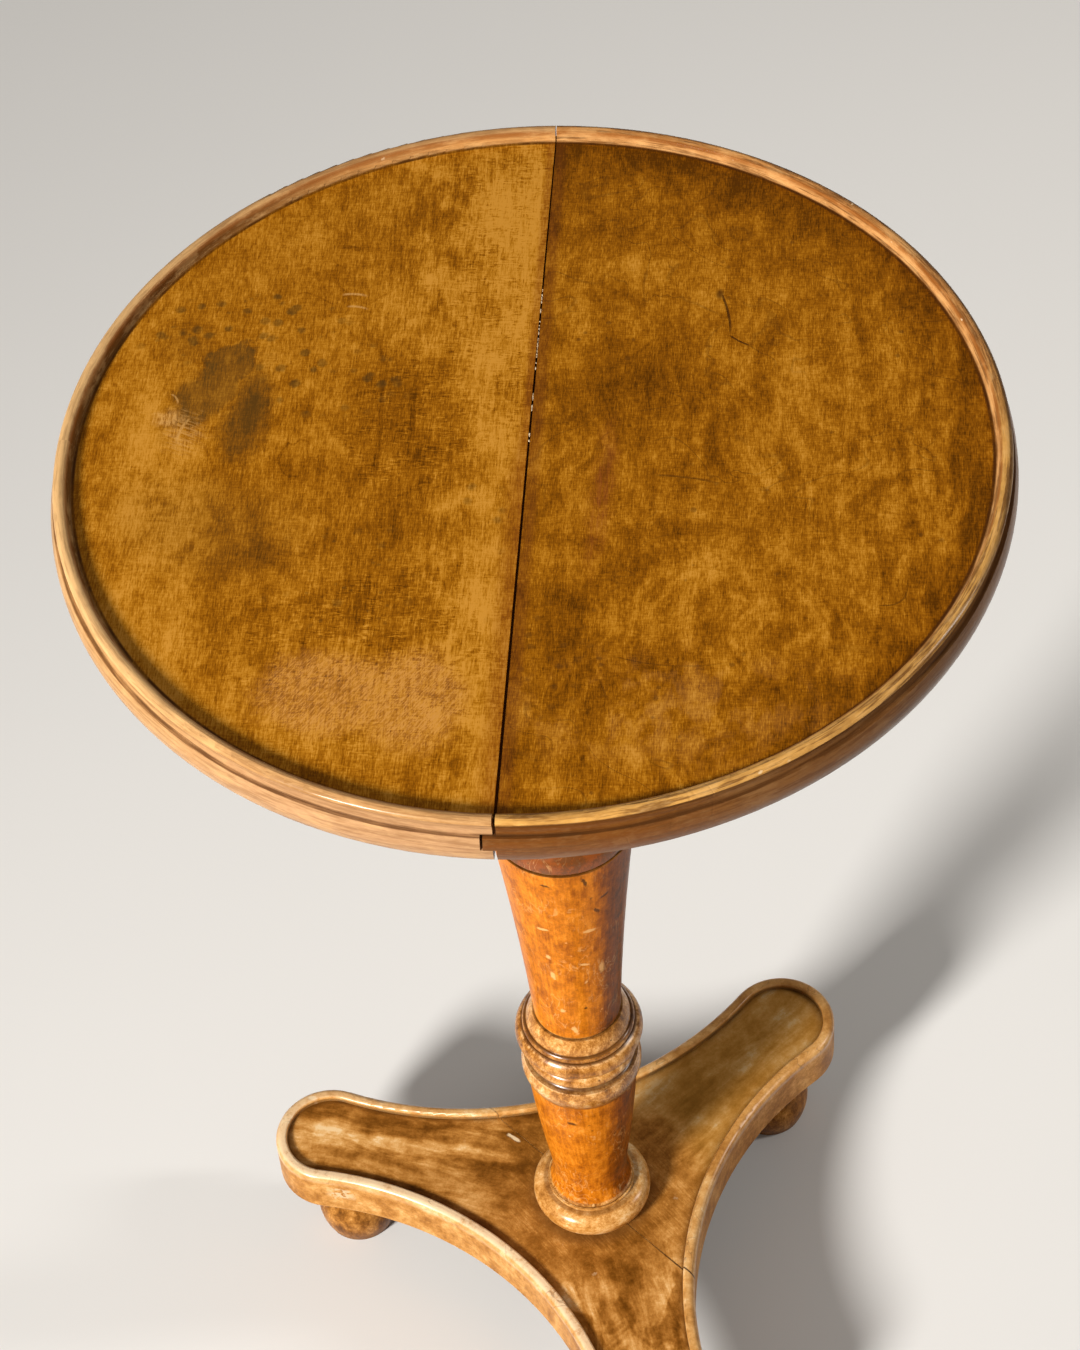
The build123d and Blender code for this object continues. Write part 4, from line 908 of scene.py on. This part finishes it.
    chip_wobble = f.around(f.noise(3, seed + 4), 0.34)
    chip = f.fall(f.plus(f.cells(21, seed=seed + 5), chip_wobble), 0.04, 0.09)
    chip = f.times(chip, f.rise(f.noise(50, seed + 6, 2), 0.5, 0.62))
    nick = f.most(
        f.stroke((-53, 37.5), (-45, 32.5), 1.4), f.patch((-47.5, 33.8), (3, 1.1), 0.3, 0.6, angle=-32),
    )
    lip_nick = f.times(f.patch((-171, 57), (2.5, 1.5), 0.4, 0.9), lip)
    pale = f.most(chip, nick, (chips_side, side, 0.9), lip_nick)
    colour = f.mix((pale, 0.85), colour, (0.84, 0.64, 0.39))

    scratch = wear(f, seed + 10, 0.14)
    colour = f.mix((scratch, 0.3), colour, (0.62, 0.36, 0.12))
    under = f.fall(f.z, *beyond(platform_low.z, 0.1, 1.2))
    colour = f.mix(under, colour, f.mix(hatch, (0.09, 0.045, 0.018), (0.21, 0.115, 0.05)))

    height = f.plus(
        (mottle, f.rise(lip, 0, 1, 1.6, 0.9)), (hatch, 0.15), (pale, -0.8), (scratch, -0.5),
        (crack, -0.8),
    )
    roughness = f.plus(0.3, (mottle, 0.14), (crease, 0.2), (under, 0.35), (lip, -0.08))
    return f.finish(colour, roughness, height, 0.16, coat=f.rise(lip, 0, 1, 0.12, 1), **POLISHED)


def upper_mask(f):
    """One on the platform's upper face and lip, nothing on its sides."""
    return f.rise(f.z, *beyond(PLATFORM_PANEL, -0.6, -0.1))


def foot_wood():
    """Turned feet: golden brown, darker round the sole and under the collar."""
    f = Finish("foot_wood")
    streak = grain(f, "z", 1.8, 30, 141, detail=4)
    mottle = f.noise((10, 10, 14), 142, 6, 0.8)
    cloud = f.noise(20, 143, 1)
    tone = f.plus(0.46, f.around(mottle, 2.2), f.around(streak, 0.35), f.around(cloud, 0.3))
    colour = f.ramp(tone, BASE_TONES)
    scuffed = f.times(f.fall(f.z, 1 * MM, 9 * MM), f.rise(mottle, 0.4, 0.56, 0.5, 1))
    colour = f.mix((scuffed, 0.6), colour, (0.13, 0.058, 0.02))
    dirt = f.rise(f.crevice(5), 0.25, 0.7)
    colour = f.mix((dirt, 0.8), colour, (0.07, 0.028, 0.009))
    height = f.plus((mottle, 1.4), (streak, 0.3))
    roughness = f.plus(0.32, (mottle, 0.12), (scuffed, 0.2))
    return f.finish(colour, roughness, height, 0.14, coat=0.18, **POLISHED)


# ---------------------------------------------------------------- hidden wood and metal
def bare_wood(name, along, light, dark, seed):
    """Plain unfinished wood: planed, darkened by age, grain along one axis."""
    f = Finish(name)
    broad = grain(f, along, 7, 130, seed, detail=3, roughness=0.6)
    fine = grain(f, along, 0.8, 22, seed + 1, detail=3, roughness=0.65)
    pore = grain(f, along, 0.35, 4, seed + 2, detail=1)
    grime = f.noise(35, seed + 3, 4, 0.6)
    colour = f.mix(f.rise(broad, 0.3, 0.7), dark, light)
    for mask, amount, share in (
        (f.fall(fine, 0.3, 0.52), 0.5, 0.45),
        (f.rise(pore, 0.62, 0.72), 0.6, 0.3),
        (f.rise(grime, 0.45, 0.7), 0.5, 0.6),
    ):
        colour = f.mix((mask, amount), colour, tuple(channel * share for channel in dark))
    colour = f.mix((f.rise(f.crevice(5), 0.25, 0.7), 0.6), colour, (0.03, 0.016, 0.008))
    height = f.plus((fine, 0.6), (pore, -0.5), (broad, 0.3))
    roughness = f.plus(0.58, (fine, 0.2))
    return f.finish(colour, roughness, height, 0.14)


def end_grain_wedge():
    """End of an oak wedge: rings and pores across the cut."""
    f = Finish("wedge_wood")
    rings = f.noise((30, 0.9, 50), 171, 3, 0.6)
    pore = f.fall(f.cells(0.7, seed=9), 0.12, 0.3)
    colour = f.mix(f.rise(rings, 0.35, 0.65), (0.3, 0.18, 0.075), (0.15, 0.082, 0.032))
    colour = f.mix((pore, 0.6), colour, (0.07, 0.036, 0.015))
    return f.finish(colour, f.plus(0.6, (rings, 0.15)), f.plus(rings, (pore, -0.5)), 0.1)


def aged_brass(name, seed):
    """Brass with brown tarnish in patches, fine brighter brushing and dark corners."""
    f = Finish(name)
    tarnish = f.noise(9, seed, 5, 0.65)
    brush = f.noise((14, 0.25, 0.25), seed + 1, 2)
    corner = f.rise(f.crevice(3), 0.2, 0.65)
    colour = f.mix(f.rise(tarnish, 0.38, 0.68), (0.62, 0.4, 0.13), (0.25, 0.135, 0.045))
    colour = f.mix((brush, 0.25), colour, (0.72, 0.5, 0.2))
    colour = f.mix((corner, 0.8), colour, (0.045, 0.028, 0.014))
    roughness = f.plus(0.26, (tarnish, 0.26), (corner, 0.3))
    height = f.plus((brush, 0.5), (tarnish, 0.3))
    return f.finish(colour, roughness, height, 0.03, metallic=0.9)


def old_iron():
    """Blackened iron with a little rust in patches and in the slot."""
    f = Finish("old_iron")
    pit = f.noise(1.4, 181, 4, 0.7)
    rust = f.noise(4, 182, 4, 0.65)
    colour = f.mix(f.rise(pit, 0.35, 0.65), (0.09, 0.08, 0.074), (0.165, 0.15, 0.14))
    rusty = f.most(f.rise(rust, 0.55, 0.72), f.rise(f.crevice(2), 0.2, 0.6))
    colour = f.mix((rusty, 0.8), colour, (0.115, 0.038, 0.014))
    roughness = f.plus(0.38, (pit, 0.2), (rusty, 0.2))
    return f.finish(colour, roughness, pit, 0.06, metallic=0.75)


def spring_steel():
    """Blued spring leaf, straw coloured in patches."""
    f = Finish("spring_steel")
    brush = f.noise((12, 0.2, 0.2), 191, 2)
    tint = f.noise(8, 192)
    colour = f.mix(f.rise(tint, 0.35, 0.65), (0.16, 0.17, 0.21), (0.3, 0.25, 0.19))
    colour = f.mix((brush, 0.3), colour, (0.42, 0.42, 0.43))
    return f.finish(colour, f.plus(0.24, (brush, 0.15)), brush, 0.02, metallic=0.95)


def dress(material, *node_names):
    """Gives CAD nodes their finish, on every slot they have."""
    for name in node_names:
        mesh = frame["nodes"][name].data
        if not mesh.materials:
            mesh.materials.append(material)
        for index in range(len(mesh.materials)):
            mesh.materials[index] = material


dress(left_board(), "top_board_left")
dress(right_board(), "top_board_right")
dress(pillar_wood(), "pillar")
dress(collar_wood(), "base_collar")
dress(platform_wood("platform_back", PLATFORM_SEED), "platform_board_back")
dress(platform_wood("platform_front", PLATFORM_SEED), "platform_board_front")
dress(foot_wood(), "foot_front", "foot_right", "foot_left")
dress(bare_wood("block_wood", "x", (0.2, 0.11, 0.048), (0.105, 0.054, 0.024), 151), "block")
dress(
    bare_wood("bearer_wood", "x", (0.225, 0.12, 0.05), (0.115, 0.058, 0.024), 161), "bearer_front",
    "bearer_back",
)
dress(end_grain_wedge(), "pillar_wedge_top", "pillar_wedge_bottom")
dress(aged_brass("catch_brass", 201), "catch_plate", "catch_case", "keeper_plate")
dress(aged_brass("bolt_brass", 211), "catch_bolt", "catch_knob")
dress(aged_brass("screw_brass", 221), "catch_screws", "keeper_screws")
dress(old_iron(), "bearer_screws", "pivot_pin_front", "pivot_pin_back")
dress(spring_steel(), "catch_spring")


# ---------------------------------------------------------------- crumbs in the open seam
SEAM_FRONT = 1.5 * MM       # width of the open joint at the front edge
SEAM_BACK = 0.6 * MM        # and at the back edge
CRUMBS = 34
CRUMB_REACH = (4 * MM, 106 * MM)
CRUMB_CROWD = 58 * MM       # most of them lie beyond this
CRUMB_WIDTH = (0.36, 0.50)  # half width, in shares of the gap
CRUMB_LENGTH = (0.4, 1.5)   # half length, in millimetres, like the next three
CRUMB_HEIGHT = (0.25, 0.40)     # half height
CRUMB_DEPTH = (0.02, 0.15)      # how far its top lies below the face
CRUMB_LUMPS = (-0.07, 0.05)     # how far its surface strays
CRUMB_TURN = 2.0            # degrees


def seam_crumbs():
    """Crumbs of dried wax and dust caught in the joint between the boards, just below their face."""
    random.seed(11)
    crumbs = bmesh.new()
    for index in range(CRUMBS):
        low, high = (CRUMB_REACH[0], CRUMB_CROWD) if index % 4 == 0 else (CRUMB_CROWD, CRUMB_REACH[1])
        y = random.uniform(low, high)
        gap = SEAM_FRONT + (SEAM_BACK - SEAM_FRONT) * (y + TOP_RADIUS) / (2 * TOP_RADIUS)
        wide = gap * random.uniform(*CRUMB_WIDTH)
        half = Vector((wide, random.uniform(*CRUMB_LENGTH) * MM, random.uniform(*CRUMB_HEIGHT) * MM))
        centre = Vector((SEAM - gap / 2, y, PANEL - half.z - random.uniform(*CRUMB_DEPTH) * MM))
        place = Matrix.LocRotScale(centre, Euler((0.0, 0.0, math.radians(CRUMB_TURN))), half)
        made = bmesh.ops.create_icosphere(crumbs, subdivisions=2, radius=1.0, matrix=place)
        for vertex in made["verts"]:
            vertex.co += Vector([random.uniform(*CRUMB_LUMPS) * MM for _ in range(3)])
    mesh = bpy.data.meshes.new("seam_crumbs")
    crumbs.to_mesh(mesh)
    crumbs.free()
    piece = bpy.data.objects.new("seam_crumbs", mesh)
    bpy.context.scene.collection.objects.link(piece)
    mesh.materials.append(dried_wax())
    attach(piece, "top")


def dried_wax():
    f = Finish("dried_wax")
    speck = f.noise(1.2, 231, 3, 0.6)
    colour = f.mix(f.rise(speck, 0.36, 0.64), (0.86, 0.7, 0.47), (0.52, 0.33, 0.16))
    return f.finish(colour, f.plus(0.55, (speck, 0.2)), speck, 0.05)


seam_crumbs()


# ---------------------------------------------------------------- floor, backdrop, light and camera
FLOOR_SIZE = 40.0
LAMP_AIM = 0.7              # height that the lamps aim at, in shares of the table's
WORLD_STRENGTH = 0.20


def pale_floor():
    """A wide plain floor with a faint unevenness."""
    f = Finish("pale_floor")
    shade = f.noise(600, 301)
    seen = f.mix(shade, (0.8, 0.79, 0.77), (0.84, 0.83, 0.81))
    path = f.node("LightPath").outputs
    direct = f.most(path["Is Camera Ray"], path["Is Glossy Ray"], path["Is Transmission Ray"])
    material = f.finish(f.mix(direct, (0.32, 0.22, 0.15), seen), 0.85)
    bpy.ops.mesh.primitive_plane_add(size=FLOOR_SIZE, location=(0.0, 0.0, cad_box[0].z))
    floor = bpy.context.object
    floor.name = "floor"
    floor.data.materials.append(material)


def soft_light(name, azimuth, elevation, distance, size, power, colour, spread=180.0):
    """Oval lamp of (width, height) aimed at the table's middle, from a plan direction and a height
    angle. A narrow spread, in degrees, keeps its light off the floor near the lamp."""
    lamp = bpy.data.lights.new(name, "AREA")
    lamp.shape = "ELLIPSE"
    lamp.size, lamp.size_y = size
    lamp.energy = power
    lamp.color = colour
    lamp.spread = math.radians(spread)
    body = bpy.data.objects.new(name, lamp)
    bpy.context.scene.collection.objects.link(body)
    turn, lift = math.radians(azimuth), math.radians(elevation)
    away = Vector((math.cos(turn) * math.cos(lift), math.sin(turn) * math.cos(lift), math.sin(lift)))
    middle = Vector((0.0, 0.0, CREST * LAMP_AIM))
    body.location = middle + away * distance
    body.rotation_mode = "QUATERNION"
    body.rotation_quaternion = (-away).to_track_quat("-Z", "Y")


def studio():
    pale_floor()
    soft_light(
        "window", azimuth=-127.0, elevation=25.0, distance=4.5, size=(0.90, 0.90),
        power=38.4, colour=(1.0, 0.97, 0.93), spread=60.0,
    )
    soft_light(
        "side_window", azimuth=7.0, elevation=26.0, distance=2.6, size=(0.30, 1.10),
        power=18.0, colour=(1.0, 0.96, 0.92),
    )
    world = bpy.data.worlds.new("studio")
    bpy.context.scene.world = world
    world.use_nodes = True
    background = world.node_tree.nodes["Background"]
    background.inputs["Color"].default_value = (1.0, 0.96, 0.90, 1.0)
    background.inputs["Strength"].default_value = WORLD_STRENGTH


# The camera looks down on the table from in front, a little to the right, and leans a little.
CAMERA_AZIMUTH = 7.39
CAMERA_ELEVATION = 49.72
CAMERA_ROLL = -4.97
CAMERA_DISTANCE = 1.728
CAMERA_AIM = Vector((-4.6 * MM, -0.6 * MM, 0.5484))
CAMERA_LENS = 95.07


def photographer():
    lens = bpy.data.cameras.new("camera")
    lens.lens = CAMERA_LENS
    camera = bpy.data.objects.new("camera", lens)
    bpy.context.scene.collection.objects.link(camera)
    turn, lift = math.radians(CAMERA_AZIMUTH), math.radians(CAMERA_ELEVATION)
    back = Vector((math.sin(turn) * math.cos(lift), -math.cos(turn) * math.cos(lift), math.sin(lift)))
    camera.location = CAMERA_AIM + back * CAMERA_DISTANCE
    camera.rotation_mode = "QUATERNION"
    level = (-back).to_track_quat("-Z", "Y")
    camera.rotation_quaternion = level @ Quaternion((0.0, 0.0, 1.0), math.radians(CAMERA_ROLL))
    bpy.context.scene.camera = camera


studio()
photographer()
bpy.context.scene.view_settings.view_transform = "Standard"
